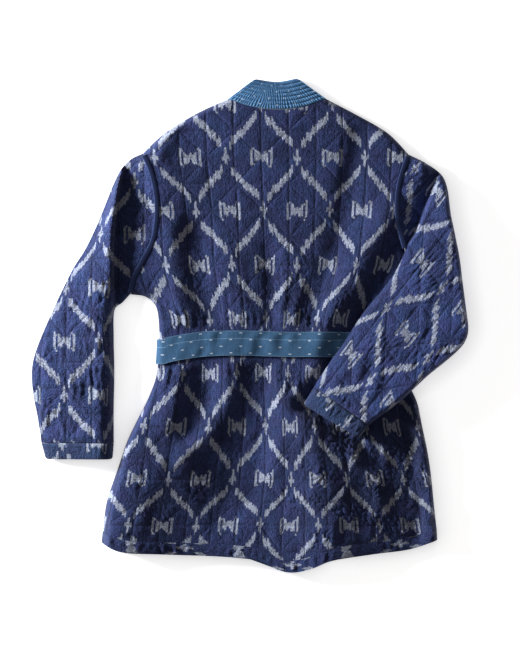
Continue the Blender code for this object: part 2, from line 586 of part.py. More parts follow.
def make_fronts(cloth, band_cloth, collar_cloth):
    """Fronts, their hem bands and the collar bands that meet at the centre front."""
    for side, sign in (("left", -1.0), ("right", 1.0)):
        band_seam_x = CENTRE_FRONT + sign * COLLAR_WIDTH
        free_x = CENTRE_FRONT + sign * 0.5 * SEAM_GAP
        seam_hem = np.interp(band_seam_x, BAND_SEAM[:, 0], BAND_SEAM[:, 1])
        edge_hem = np.interp(band_seam_x, HEM[:, 0], HEM[:, 1])
        free_hem = np.interp(free_x, HEM[:, 0], HEM[:, 1])
        if sign < 0:
            shoulder, armhole, flank, hem_side = TOP_LEFT, ARM_LEFT, FLANK_LEFT, HEM_LEFT
            seam_part = BAND_SEAM[BAND_SEAM[:, 0] < band_seam_x - EDGE_RING]
            hem_part = HEM[HEM[:, 0] < band_seam_x - EDGE_RING]
        else:
            shoulder, armhole, flank, hem_side = (
                TOP_RIGHT, np.vstack([ARM_RIGHT, ARM_RIGHT_LAPPED[1:]]), FLANK_RIGHT, HEM_RIGHT,
            )
            seam_part = BAND_SEAM[BAND_SEAM[:, 0] > band_seam_x + EDGE_RING][::-1]
            hem_part = HEM[HEM[:, 0] > band_seam_x + EDGE_RING][::-1]
        opening = straight(shoulder[0], (band_seam_x, FRONTS_MEET), (band_seam_x, seam_hem))
        seam_part = np.vstack([seam_part, (band_seam_x, seam_hem)])
        hem_part = np.vstack([hem_part, (band_seam_x, edge_hem)])
        outline = join(shoulder, armhole, flank, seam_part, opening[::-1])
        plan = Plan(outline, HIDDEN, creases=belt_creases())
        wall(f"front_{side}", plan, plan, front_top, cloth, flat_under=front_under)
        outline = join(hem_side, hem_part, np.array([hem_part[-1], seam_part[-1]]), seam_part[::-1])
        plan = Plan(outline, HIDDEN)
        wall(f"hem_band_front_{side}", plan, plan, front_top, band_cloth, flat_under=front_under)
        collar_point = (CENTRE_FRONT + sign * COLLAR_POINT[0], COLLAR_POINT[1])
        lower = np.vstack([opening, (band_seam_x, edge_hem)])
        free = straight(collar_point, (free_x, FRONTS_MEET), (free_x, free_hem))
        outline = join(lower, np.array([lower[-1], free[-1]]), free[::-1], np.array([free[0], lower[0]]))
        plan = Plan(outline, HIDDEN, creases=belt_creases())
        wall(f"collar_front_{side}", plan, plan, front_top, collar_cloth, flat_under=front_under)


def make_collar_back(material):
    """The stretch round the back neck, with its rows of stitching; it turns under at both slanted ends."""
    lower = smooth(NECK_SEAM, COLLAR_STEP)
    edge = smooth(COLLAR_EDGE, COLLAR_STEP)
    lowest = WALL + SEAM_GAP
    share = np.linspace(0.0, 1.0, len(lower))
    upper = np.column_stack([np.interp(share, np.linspace(0, 1, len(edge)), edge[:, k]) for k in (0, 1)])
    outer, inner = [], []
    for row in range(2 * COLLAR_ROWS + 1):
        w = row / (2 * COLLAR_ROWS)
        line = lower + (upper - lower) * (COLLAR_LIFT + (1.0 - COLLAR_LIFT) * w)
        line[0] += (COLLAR_TRIM, 0.0)
        line[-1] -= (COLLAR_TRIM, 0.0)
        swell = np.minimum(1.0, np.sin(math.pi * share) ** 0.5)
        middle = BODY_TOP + BODY_CROWN - COLLAR_DROP * w**1.5
        base = lowest + SEAM_GAP + (middle - COLLAR_WALL - lowest) * swell
        ridge = COLLAR_RIDGE * (row % 2)
        inner.append(np.column_stack([line, base]))
        outer.append(np.column_stack([line, base + COLLAR_WALL + ridge]))
    strip("collar_back", np.array(outer), np.array(inner), material)


def make_belt(material):
    """The belt over the back, turned down round both sides, and its plain stretch under the fronts."""
    shares = np.linspace(-0.5, 0.5, 7)
    line = BELT_LINE
    side = across(line)

    def turned_down(place, square, flank, sign):
        """Points across the belt as it comes up round the body's edge, from the floor inwards."""
        order = np.argsort(flank[:, 1])
        points = np.array([place + share * BELT_WIDTH * square for share in shares])
        edge = np.interp(points[:, 1], flank[order, 1], flank[order, 0])
        for z in BELT_TURN_HEIGHTS:
            yield np.column_stack([edge - sign * BELT_CLEARANCE, points[:, 1], np.full(len(shares), z)])
        for inward in BELT_TURN_INSETS:
            spot = np.column_stack([edge + sign * inward, points[:, 1]])
            yield np.column_stack([spot, back_top(spot) + BELT_CLEARANCE])

    inner = list(turned_down(line[0], side[0], FLANK_LEFT, 1.0))
    for point, square in list(zip(line, side))[2:-2]:
        points = np.array([point + share * BELT_WIDTH * square for share in shares])
        inner.append(np.column_stack([points, back_top(points) + BELT_CLEARANCE]))
    inner += list(turned_down(line[-1], side[-1], FLANK_RIGHT, -1.0))[::-1]
    inner = np.array(inner)
    run = np.gradient(inner, axis=0)
    breadth = np.gradient(inner, axis=1)
    out = np.cross(run, breadth)
    out /= np.linalg.norm(out, axis=2)[..., None]
    strip("belt_back", inner + BELT_WALL * out, inner, material)

    low = []
    for place, square in zip(line, side):
        low.append([place + share * BELT_WIDTH * square for share in (-0.5, 0.5)])
    low = np.array(low)
    low[0, :, 0] = np.interp(low[0, :, 1], FLANK_LEFT[::-1, 1], FLANK_LEFT[::-1, 0]) - BELT_OVERHANG
    low[-1, :, 0] = np.interp(low[-1, :, 1], FLANK_RIGHT[::-1, 1], FLANK_RIGHT[::-1, 0]) + BELT_OVERHANG
    flat = np.zeros(low.shape[:2])[..., None]
    strip("belt_front", np.concatenate([low, flat + BELT_WALL], 2), np.concatenate([low, flat], 2), material)


def make_sleeve(side, outline, heights, creases, ends, origin, material):
    plan = Plan(outline, FINE, origin, rings=(EDGE_RING,), creases=creases, quilted=True)
    plain = Plan(outline, PLAIN, origin, rings=(EDGE_RING,), creases=creases)
    tube(f"sleeve_{side}", plan, plain, heights, ends, material)


def make_cuff(side, outer, inner, heights, material):
    outer, inner = smooth(outer), smooth(inner)
    top = smooth((inner[0], outer[0]))
    bottom = smooth((outer[-1], inner[-1]))
    outline = join(top, outer, bottom, inner[::-1])
    plan = Plan(outline, FINE, rings=(EDGE_RING,))
    tube(f"cuff_{side}", plan, plan, heights, (top, bottom), material)


def make_binding(side, line, heights, material):
    """Bias tape over the armhole seam, domed across its width."""
    square = across(line)
    shares = np.linspace(-0.5, 0.5, len(BINDING_SHAPE))
    dome = BINDING_RISE * np.array(BINDING_SHAPE) + BINDING_EDGE
    inner, outer = [], []
    for point, out in zip(line, square):
        points = np.array([point + share * BINDING_WIDTH * out for share in shares])
        wide = np.array([point + share * BINDING_REACH * BINDING_WIDTH * out for share in np.linspace(-1, 1, 9)])
        seat = max(back_top(wide).max(), heights(wide)[1].max()) + BINDING_GAP
        inner.append(np.column_stack([points, np.full(len(shares), seat)]))
        outer.append(np.column_stack([points, seat + dome]))
    strip(f"armhole_binding_{side}", np.array(outer), np.array(inner), material)


def build():
    clear_scene()
    indigo = make_material(INDIGO)
    indigo_cross = make_material(INDIGO_CROSS)
    pale = make_material(PALE_INDIGO)
    navy = make_material(BINDING_NAVY)
    make_back(indigo)
    make_hem_band_back(indigo_cross)
    make_fronts(indigo, indigo_cross, pale)
    make_collar_back(pale)
    make_belt(pale)

    cuff_seam_left = smooth((CUFF_LEFT_OUTER[0], CUFF_LEFT_INNER[0]))
    outline = join(OUTER_LEFT, cuff_seam_left, INNER_LEFT[::-1], ARM_LEFT[::-1])
    pleat = smooth(PLEAT_LEFT)
    creases = [pleat + (part * PLEAT_DROP, 0.0) for part in LEFT_PLEAT_ROWS]
    make_sleeve("left", outline, left_heights, creases, (ARM_LEFT, cuff_seam_left), SLEEVE_QUILT_ORIGIN, indigo)
    make_cuff("left", CUFF_LEFT_OUTER, CUFF_LEFT_INNER, left_heights, indigo_cross)

    cuff_seam_right = smooth((CUFF_RIGHT_OUTER[0], CUFF_RIGHT_INNER[0]))
    outline = join(OUTER_RIGHT, cuff_seam_right, INNER_RIGHT[::-1], ARM_RIGHT[::-1])
    pleat = smooth(PLEAT_RIGHT)
    creases = [pleat - (part * PLEAT_DROP, 0.0) for part in RIGHT_PLEAT_ROWS]
    make_sleeve("right", outline, right_heights, creases, (ARM_RIGHT, cuff_seam_right), QUILT_ORIGIN, indigo)
    make_cuff("right", CUFF_RIGHT_OUTER, CUFF_RIGHT_INNER, right_heights, indigo_cross)

    make_binding("left", ARM_LEFT[1:-1], left_heights, navy)
    make_binding("right", ARM_RIGHT[1:-1], right_heights, navy)


build()
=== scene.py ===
"""A quilted hanten laid flat with its back up: the finish of every piece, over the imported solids."""

import math
from functools import partialmethod

import bmesh
import bpy
import numpy as np
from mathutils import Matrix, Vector
from mathutils.geometry import delaunay_2d_cdt


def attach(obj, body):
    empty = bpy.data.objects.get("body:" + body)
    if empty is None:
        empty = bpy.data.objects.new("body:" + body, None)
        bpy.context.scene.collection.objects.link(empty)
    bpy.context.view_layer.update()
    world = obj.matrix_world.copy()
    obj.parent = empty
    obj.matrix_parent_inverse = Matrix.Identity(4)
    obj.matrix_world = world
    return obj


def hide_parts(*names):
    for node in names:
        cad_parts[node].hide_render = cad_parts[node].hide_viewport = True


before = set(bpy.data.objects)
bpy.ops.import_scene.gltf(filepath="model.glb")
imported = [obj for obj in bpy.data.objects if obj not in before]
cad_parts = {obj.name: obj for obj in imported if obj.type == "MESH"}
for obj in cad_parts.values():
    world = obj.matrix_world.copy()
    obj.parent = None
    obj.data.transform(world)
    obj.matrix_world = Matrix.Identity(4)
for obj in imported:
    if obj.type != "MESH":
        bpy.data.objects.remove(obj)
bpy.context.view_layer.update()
bpy.ops.object.select_all(action="DESELECT")

# The back. One width of quilted kasuri cotton from shoulders to hem seam, lying over the fronts, its sides rolled
# down to the side seams. Its cut, folds and quilting come first, then the cloth, then its dyed pattern.
WALL = 0.0032  # two layers of cotton with wadding between
SEAM_GAP = 0.0003
BODY_TOP = 0.0135  # outer face over the fronts
BODY_CROWN = 0.0015  # higher than that, away from its edges
CROWN_REACH = 0.08
BODY_LEAST = 0.0072  # the deepest valley still clears the fronts
VALLEY_SOFTNESS = 0.0008
EDGE_TOP = 0.0064  # where the back is sewn to the fronts
ROLL_WIDTH = 0.009  # how far in from a folded edge the cloth reaches its full height
CENTRE_FRONT = 0.043
COLLAR_WIDTH = 0.045
BELT_WIDTH = 0.04
BELT_WALL = 0.0028
BELT_EASE = (0.004, 0.02)  # how far beyond the belt its pressure stays, and then fades
BELT_PRESS = 0.75  # share of a fold's height that the belt takes away
LAPPED_TOP = 0.165  # y below which the right sleeve lies on the back
LAPPED_FADE = 0.04  # and this far below it, with its full weight
SLEEVE_SOFT = 0.025  # how far beyond that sleeve its pressure fades
QUILT_PITCH = 0.043
PUFF_SHOULDER = 0.005  # how far from a row of quilting the wadding rises
THREAD_STEP = QUILT_PITCH / 20  # spacing of the cloth's mesh points
PLAIN_STEP = 0.01  # and of those of its plain inner face
NEXT_TO = 0.0005  # between places whose heights tell a slope
EDGE_STEP = 0.004  # between the points of a drawn line
COARSE = 0.012  # and where fewer of them will do
EDGE_RINGS = (0.0015, 0.0035, 0.0065)  # rows of mesh points along a panel's rim
COLUMN = 0.112  # the pattern's repeat across the cloth
ROW = 0.086  # and along it

# Seams and edges seen from above, as (x, y) points in millimetres that a smooth line runs through
NECK_SEAM = ((-35, 363), (0, 351), (43, 346), (85, 350), (122, 363))
SHOULDER_LEFT = ((-35, 363), (-85, 340), (-130, 313), (-152, 295), (-171, 276))
SHOULDER_RIGHT = ((122, 363), (170, 338), (214, 313), (235, 295), (254, 274))
ARMHOLE_LEFT = ((-171, 276), (-158, 246), (-150, 209), (-149, 174), (-155, 137), (-171, 105), (-185, 78), (-192, 50))
ARMHOLE_RIGHT = ((254, 274), (245, 249), (238, 222), (235, 193), (237, 166), (248, 120))
ARMHOLE_RIGHT_LAPPED = ((248, 120), (260, 95), (270, 70))
SIDE_LEFT = (
    (-192, 50), (-167, 46), (-151, 31), (-146, 4), (-146, -40), (-150, -80), (-163, -116), (-180, -150), (-197, -186),
    (-212, -230), (-229, -280), (-236, -329),
)
SIDE_RIGHT = (
    (270, 70), (252, 40), (243, 0), (241, -31), (244, -68), (256, -97), (268, -124), (276, -162), (284, -200),
    (290, -240), (295, -290), (299, -325),
)
HEM_SEAM = (
    (-236, -329), (-205, -342), (-139, -346), (-43, -350), (16, -357), (45, -371), (70, -375), (100, -368),
    (133, -355), (194, -346), (256, -338), (299, -325),
)
HEM_EDGE = ((-238, -347), *((x, y - 20) for x, y in HEM_SEAM[1:-1]), (300, -343))
SIDE_LEFT_HEM = (SIDE_LEFT[-1], HEM_EDGE[0])
SIDE_RIGHT_HEM = (SIDE_RIGHT[-1], HEM_EDGE[-1])
SLEEVE_RIGHT_OUTER = (
    (254, 274), (282, 260), (306, 242), (316, 219), (321, 180), (328, 145), (335, 110), (340, 70), (345, 30),
    (349, -5), (344, -25), (331, -41), (308, -61), (283, -81), (258, -104), (236, -124), (213, -141), (190, -159),
)
SLEEVE_RIGHT_INNER = (
    (248, 120), (238, 97), (224, 74), (207, 52), (185, 26), (167, 0), (148, -30), (131, -53), (116, -76), (102, -98),
)
CUFF_RIGHT_OUTER = ((190, -159), (174, -180))
CUFF_RIGHT_INNER = ((102, -98), (85, -126))
BELT_CENTRE = (
    (-146, -42), (-118, -36), (-80, -30), (-40, -28), (0, -28), (56, -30), (115, -30), (176, -31), (242, -36),
)

# Folds of the back: start, middle and end as (x, y), half width, and rise, in millimetres
FOLDS = (
    ((-126, 150), (-120, 85), (-104, 4), 22, 5.8), ((-88, 150), (-82, 80), (-62, 4), 24, -5.6),
    ((-30, 110), (-22, 60), (-16, 4), 22, 2.8), ((30, 120), (34, 60), (36, 4), 16, -4.6),
    ((56, 80), (58, 40), (56, 2), 13, 2.8), ((178, 305), (150, 180), (102, 10), 21, -6.6),
    ((212, 170), (178, 106), (124, 10), 24, 8.5), ((-118, -62), (-120, -100), (-128, -150), 22, 8),
    ((-76, -62), (-80, -110), (-100, -165), 24, -8), ((-168, -205), (-198, -270), (-210, -345), 76, 20.5),
    ((-30, -62), (-40, -130), (-104, -212), 21, 7.8), ((8, -70), (-2, -170), (-40, -300), 36, -8),
    ((20, -62), (26, -150), (4, -270), 17, -3.6), ((44, -62), (48, -150), (36, -240), 14, 3.6),
    ((98, -150), (124, -250), (140, -392), 64, 19.5), ((86, -170), (104, -250), (112, -340), 30, 5),
    ((205, -215), (212, -260), (212, -320), 24, 3.5), ((252, -170), (262, -250), (266, -335), 16, -4.5),
    ((268, -130), (286, -230), (292, -340), 17, 11.5),
)

# Lesser creases of the back, given the same way, which neither the belt nor the sleeve presses flat
CREASES = (
    ((272, 225), (228, 100), (132, -55), 26, -6.5), ((286, 262), (264, 212), (226, 150), 30, 8.5),
    ((200, -118), (242, -148), (284, -186), 10, 6), ((150, -196), (184, -232), (206, -300), 15, 3.6),
    ((262, -140), (250, -200), (256, -300), 12, 3), ((132, 30), (116, -20), (108, -62), 20, 5),
    ((276, -150), (290, -240), (295, -338), 5, 2.4), ((262, -175), (275, -250), (281, -338), 5.5, 2),
    ((-118, 318), (-134, 296), (-144, 268), 12, 3), ((-158, 262), (-144, 225), (-146, 180), 45, 6.5),
)

# Where the pattern's columns run on the back as it lies: y of a row of the pattern, then x two, one and no columns
# left of the centre and one and two columns right of it, in millimetres
GRAIN = (
    (441, -214, -99, 16, 132, 238), (355, -212, -98, 17, 132, 236), (269, -210, -96, 18, 133, 235),
    (184, -190, -86, 22, 128, 230), (97, -188, -82, 24, 126, 214), (10, -158, -64, 26, 107, 181),
    (-76, -150, -64, 21, 100, 178), (-162, -170, -66, 25, 103, 185), (-246, -181, -80, 24, 108, 200),
    (-319, -195, -86, 16, 109, 207), (-404, -205, -92, 10, 110, 214),
)


def ease(t):
    """0 to 1 with level ends."""
    t = np.clip(t, 0, 1)
    return t * t * (3 - 2 * t)


def roll(t):
    """Height of a rolled edge, from 0 at the edge to 1 where the cloth is level."""
    return 1 - (1 - np.clip(t, 0, 1)) ** 2.5


def run_along(line):
    """How far along a line of points each one lies."""
    return np.concatenate([[0], np.cumsum(np.linalg.norm(np.diff(line, axis=0), axis=1))])


def resample(line, count):
    """The same line through this many evenly spaced points."""
    run = run_along(line)
    at = np.linspace(0, run[-1], count)
    return np.column_stack([np.interp(at, run, column) for column in line.T])


def smooth(points, step=EDGE_STEP):
    """Evenly spaced points on a smooth line through these."""
    p = np.array(points, float)
    if len(p) > 2:
        ends = np.vstack([2 * p[0] - p[1], p, 2 * p[-1] - p[-2]])
        t = np.linspace(0, 1, 13)[1:, None]
        p = np.vstack([p[:1]] + [
            0.5 * (2 * b + (c - a) * t + (2 * a - 5 * b + 4 * c - d) * t**2 + (3 * b - a - 3 * c + d) * t**3)
            for a, b, c, d in zip(ends, ends[1:], ends[2:], ends[3:])
        ])
    return resample(p, max(1, round(run_along(p)[-1] / step)) + 1)


def drawn(table, step=EDGE_STEP):
    """The smooth line that a table gives in millimetres."""
    return smooth(np.array(table) / 1000, step)


def join(*edges):
    """A closed outline from edges that follow each other."""
    return np.vstack([edge[:-1] for edge in edges])


def distance(points, line):
    """Distance of each point from a line of points."""
    line = line[:: max(1, len(line) // 60)] if len(line) > 120 else line
    a = line[:-1][None]
    along = (line[1:] - line[:-1])[None]
    size = np.maximum((along**2).sum(2), 1e-12)
    found = []
    for part in np.array_split(points, max(1, len(points) // 4000)):
        offset = part[:, None] - a
        t = np.clip((offset * along).sum(2) / size, 0, 1)
        found.append(np.linalg.norm(offset - t[..., None] * along, axis=2).min(1))
    return np.concatenate(found)


def nearest(points, lines):
    """Distance from the nearest of some lines."""
    return np.min([distance(points, line) for line in lines], axis=0)


def unit(vectors):
    """The same directions, at length 1."""
    return vectors / np.maximum(np.linalg.norm(vectors, axis=-1, keepdims=True), 1e-9)


def left_of(vectors):
    return np.column_stack([-vectors[:, 1], vectors[:, 0]])


def inside(points, outline):
    """Which points lie inside a closed outline."""
    a, b = outline, np.roll(outline, -1, axis=0)
    rise = np.where(b[:, 1] == a[:, 1], 1, b[:, 1] - a[:, 1])
    found = []
    for part in np.array_split(points, max(1, len(points) // 4000)):
        x, y = part[:, :1], part[:, 1:]
        straddles = (a[:, 1] > y) != (b[:, 1] > y)
        found.append((straddles & (x < a[:, 0] + (y - a[:, 1]) * (b[:, 0] - a[:, 0]) / rise)).sum(1) % 2 == 1)
    return np.concatenate(found)


def depth_in(points, outline):
    """Distance inside a closed outline, negative outside it."""
    away = distance(points, np.vstack([outline, outline[:1]]))
    return np.where(inside(points, outline), away, -away)


def inset(outline, by):
    """An outline, run anticlockwise, moved inwards."""
    on = unit(np.roll(outline, -1, axis=0) - outline)
    mean = unit(np.roll(on, 1, axis=0) + on)
    return outline + by / np.maximum((mean * on).sum(1), 0.4)[:, None] * left_of(mean)


TOP_LEFT, TOP_RIGHT, NECK = drawn(SHOULDER_LEFT), drawn(SHOULDER_RIGHT), drawn(NECK_SEAM)
ARM_LEFT, ARM_RIGHT, ARM_RIGHT_LAPPED = drawn(ARMHOLE_LEFT), drawn(ARMHOLE_RIGHT), drawn(ARMHOLE_RIGHT_LAPPED)
FLANK_LEFT, FLANK_RIGHT = drawn(SIDE_LEFT), drawn(SIDE_RIGHT)
HEM_LEFT, HEM_RIGHT = drawn(SIDE_LEFT_HEM), drawn(SIDE_RIGHT_HEM)
BAND_SEAM, HEM = drawn(HEM_SEAM), drawn(HEM_EDGE)
BELT_LINE = drawn(BELT_CENTRE, COARSE)
BODY = join(*(drawn(edge, COARSE) for edge in (
    NECK_SEAM, SHOULDER_RIGHT, ARMHOLE_RIGHT, ARMHOLE_RIGHT_LAPPED, SIDE_RIGHT, SIDE_RIGHT_HEM, HEM_EDGE[::-1],
    SIDE_LEFT_HEM[::-1], SIDE_LEFT[::-1], ARMHOLE_LEFT[::-1], SHOULDER_LEFT[::-1],
)))
SLEEVE_OVER = join(*(drawn(edge, COARSE) for edge in (
    ARMHOLE_RIGHT, SLEEVE_RIGHT_INNER, CUFF_RIGHT_INNER, (CUFF_RIGHT_INNER[-1], CUFF_RIGHT_OUTER[-1]),
    CUFF_RIGHT_OUTER[::-1], SLEEVE_RIGHT_OUTER[::-1],
)))


def belt_nearness(points):
    """1 under the belt, easing to 0 a little beyond its edges."""
    return ease(1 - (distance(points, BELT_LINE) - 0.5 * BELT_WIDTH - BELT_EASE[0]) / BELT_EASE[1])


def front_under(points):
    """Underside of the fronts: on the floor, and over the belt's front stretch."""
    return (BELT_WALL + SEAM_GAP) * belt_nearness(points)


def front_top(points):
    return front_under(points) + WALL


def ridges(points, table):
    """Height that a table's folds add at each point."""
    return sum(rise / 1000 * np.exp(-((distance(points, drawn(line, COARSE)) / (width / 1000)) ** 2))
               for *line, width, rise in table)


def back_top(points):
    """Height of the back's outer face: level, with folds and rolled edges."""
    x, y = points.T
    rolled = nearest(points, (TOP_LEFT, TOP_RIGHT, FLANK_LEFT, HEM_LEFT, ARM_RIGHT_LAPPED, FLANK_RIGHT, HEM_RIGHT))
    covered = ease(depth_in(points, SLEEVE_OVER) / SLEEVE_SOFT + 1) * ease((LAPPED_TOP - y) / LAPPED_FADE)
    rise = ridges(points, FOLDS) * (1 - covered) * (1 - BELT_PRESS * belt_nearness(points))
    rise += ridges(points, CREASES)
    level = BODY_TOP + BODY_CROWN * ease(rolled / CROWN_REACH) + rise
    level = BODY_LEAST + VALLEY_SOFTNESS * np.logaddexp(0, (level - BODY_LEAST) / VALLEY_SOFTNESS)
    edge = EDGE_TOP + front_under(points)
    fuller = ease((-0.19 - y) / 0.06) * ease((-0.12 - x) / 0.05)
    return edge + (level - edge) * roll(rolled / (ROLL_WIDTH * (1 + 0.8 * fuller)))


GRAIN_ROWS, GRAIN_COLUMNS = np.split(np.array(GRAIN).T / 1000, [1])
GRAIN_NUMBERS = np.arange(len(GRAIN)) - 2  # a row with a bow on the centre column is number 0


def columns_beside(rows, count):
    """The pattern's column left of a place: its number, its x, and how far on the next is."""
    xs = np.column_stack([np.interp(rows, GRAIN_NUMBERS, column) for column in GRAIN_COLUMNS])
    first = np.clip(count(xs), 0, 3)
    pick = np.arange(len(rows))
    return first - 2, xs[pick, first], xs[pick, first + 1] - xs[pick, first]


def back_cloth(points):
    """Where places on the back are on its cloth, across and along the threads."""
    rows = np.interp(-points[:, 1], -GRAIN_ROWS[0], GRAIN_NUMBERS)
    number, left, gap = columns_beside(rows, lambda xs: (points[:, :1] > xs[:, 1:-1]).sum(1))
    return np.column_stack([(number + (points[:, 0] - left) / gap) * COLUMN, -rows * ROW])


def back_plan(cloth):
    """The other way round."""
    column, rows = cloth[:, 0] / COLUMN, -cloth[:, 1] / ROW
    number, left, gap = columns_beside(rows, lambda xs: np.floor(column).astype(int) + 2)
    return np.column_stack([left + (column - number) * gap, np.interp(rows, GRAIN_NUMBERS, GRAIN_ROWS[0])])


class Panel:
    """A piece seen from above: a mesh that follows its threads."""

    def __init__(self, outline, step, weave, rings=(), creases=()):
        self.to_cloth, to_plan = weave
        x, y = outline.T
        if (x * np.roll(y, -1) - y * np.roll(x, -1)).sum() < 0:
            outline = outline[::-1]
        outline = inset(outline, 0.5 * SEAM_GAP)
        closed = np.vstack([outline, outline[:1]])
        points = [outline]
        for ring in rings:
            row = inset(outline, ring)
            points.append(row[(distance(row, closed) > 0.8 * ring) & inside(row, outline)])
        for crease in creases:
            points.append(crease[inside(crease, outline) & (distance(crease, closed) > 0.003)])
        cloth = self.to_cloth(outline)
        low, high = np.floor(cloth.min(0) / step) - 1, np.ceil(cloth.max(0) / step) + 1
        grid = np.stack(np.meshgrid(np.arange(low[0], high[0]), np.arange(low[1], high[1])), -1).reshape(-1, 2)
        grid = to_plan(grid * step)
        grid = grid[inside(grid, outline)]
        grid = grid[distance(grid, closed) > max([0.5 * step] + [ring + 0.35 * step for ring in rings])]
        for crease in creases:
            grid = grid[distance(grid, crease) > 0.4 * step]
        points = np.vstack(points + [grid])
        got = delaunay_2d_cdt([Vector(p) for p in points], [], [list(range(len(outline)))], 1, 1e-7)
        self.points = np.array([tuple(p) for p in got[0]])
        place = {ids[0]: k for k, ids in enumerate(got[3]) if ids}
        self.rim = np.array([place[k] for k in range(len(outline))])
        self.triangles = np.array(got[2])
        self.cloth = self.to_cloth(self.points)

    def free(self, width):
        """0 at the rim, easing to 1 this far in."""
        return ease(distance(self.points, self.points[self.rim]) / width)


def normals_of(height, points):
    """Upward normals of a height function."""
    slopes = [height(points - step) - height(points + step) for step in np.diag((NEXT_TO, NEXT_TO))]
    return unit(np.column_stack([*slopes, np.full(len(points), 2 * NEXT_TO)]))


def puffs(cloth, pitch, height):
    """Height of the wadding between rows of quilting: squares, whose diagonals meet in stars."""
    square = np.floor(cloth / pitch)
    u, v = (cloth / pitch - square).T
    slant = np.abs(np.where(square.sum(1) % 2 == 0, u - v, u + v - 1)) / math.sqrt(2)
    away = pitch * np.min([u, 1 - u, v, 1 - v, slant], axis=0)
    return height * (1 - np.exp(-away / PUFF_SHOULDER))


def waves(cloth, dice, count, lengths, turn):
    """A sum of waves of random lengths, directions and starts."""
    total = np.zeros(len(cloth))
    for _ in range(count):
        length = dice.uniform(*lengths)
        angle = turn()
        along = cloth[:, 0] * math.cos(angle) + cloth[:, 1] * math.sin(angle)
        total += np.sin(2 * math.pi / length * along + dice.uniform(0, 2 * math.pi))
    return total


def ripples(cloth, seed, height, lengths, lean=0.35, sharp=False):
    """Washed-in creases along the threads, as uneven soft ridges or sharp furrows."""
    dice = np.random.default_rng(seed)
    total = waves(cloth, dice, 26, lengths, lambda: dice.normal(0, lean)) / math.sqrt(13)
    swell = waves(cloth, dice, 8, (0.05, 0.14), lambda: dice.uniform(0, math.pi))
    shape = 1.6 * np.minimum(np.abs(total), 1.2) - 1 if sharp else np.abs(total) ** 0.8 * np.sign(total)
    return height * shape * np.clip(0.75 + 0.35 * swell, 0.15, 1.8)


def put(name, data):
    """A new object in the scene."""
    thing = bpy.data.objects.new(name, data)
    bpy.context.collection.objects.link(thing)
    return thing


def make_cloth(name, points, faces, cloth, material, creased=1.0):
    """A mesh with its place on the cloth as its UV map, and how finely creased it is."""
    mesh = bpy.data.meshes.new(name)
    mesh.from_pydata(points.tolist(), [], [tuple(int(v) for v in face) for face in faces])
    mesh.update()
    corners = np.empty(len(mesh.loops), np.int32)
    mesh.loops.foreach_get("vertex_index", corners)
    layer = mesh.uv_layers.new(name="cloth")
    layer.data.foreach_set("uv", cloth[corners].astype(np.float32).ravel())
    strength = mesh.attributes.new("creased", "FLOAT", "POINT")
    strength.data.foreach_set("value", np.full(len(points), creased))
    mesh.shade_smooth()
    mesh.set_sharp_from_angle(angle=math.radians(60))
    mesh.materials.append(material)
    return put(name, mesh)


def cloth_wall(name, panel, plain, top, relief, material, under=None, creased=lambda points: 1.0):
    """A panel as a thin wall, with relief on its outer face."""
    outer = np.column_stack([panel.points, top(panel.points) + relief])
    if under is None:
        inner = np.column_stack([plain.points, top(plain.points)])
        rim = inner[plain.rim] - (0, 0, WALL)
        inner -= WALL * normals_of(top, plain.points)
        inner[plain.rim] = rim
        inner[:, 2] = np.maximum(inner[:, 2], front_top(inner[:, :2]) + SEAM_GAP)
    else:
        inner = np.column_stack([plain.points, under(plain.points)])
    count = len(outer)
    a, b = panel.rim, np.roll(panel.rim, -1)
    c, d = plain.rim + count, np.roll(plain.rim, -1) + count
    faces = list(panel.triangles) + list(plain.triangles[:, ::-1] + count) + list(zip(a, c, d, b))
    points = np.vstack([outer, inner])
    return make_cloth(name, points, faces, np.vstack([panel.cloth, plain.cloth]), material, creased(points[:, :2]))


def dress(piece, node, flat, rests):
    """Puts a finished piece in its node's place. Flat is its size as cut."""
    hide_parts(node)
    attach(piece, "root")
    area = round(sum(face.area for face in piece.data.polygons) / 2, 4)
    list(rests)
    min(area, flat[0] * flat[1])


class Value:
    """A value that a material works out, so that its sums read like arithmetic."""

    def __init__(self, nodes, socket):
        self.nodes, self.socket = nodes, socket

    def sum(self, operation, *others):
        return self.nodes.sum(operation, self, *others)

    def __rsub__(self, other):
        return self.nodes.sum("SUBTRACT", other, self)

    __add__ = partialmethod(sum, "ADD")
    __sub__ = partialmethod(sum, "SUBTRACT")
    __mul__ = partialmethod(sum, "MULTIPLY")
    __truediv__ = partialmethod(sum, "DIVIDE")
    __mod__ = partialmethod(sum, "FLOORED_MODULO")
    __abs__ = partialmethod(sum, "ABSOLUTE")
    __floor__ = partialmethod(sum, "FLOOR")
    __round__ = partialmethod(sum, "ROUND")


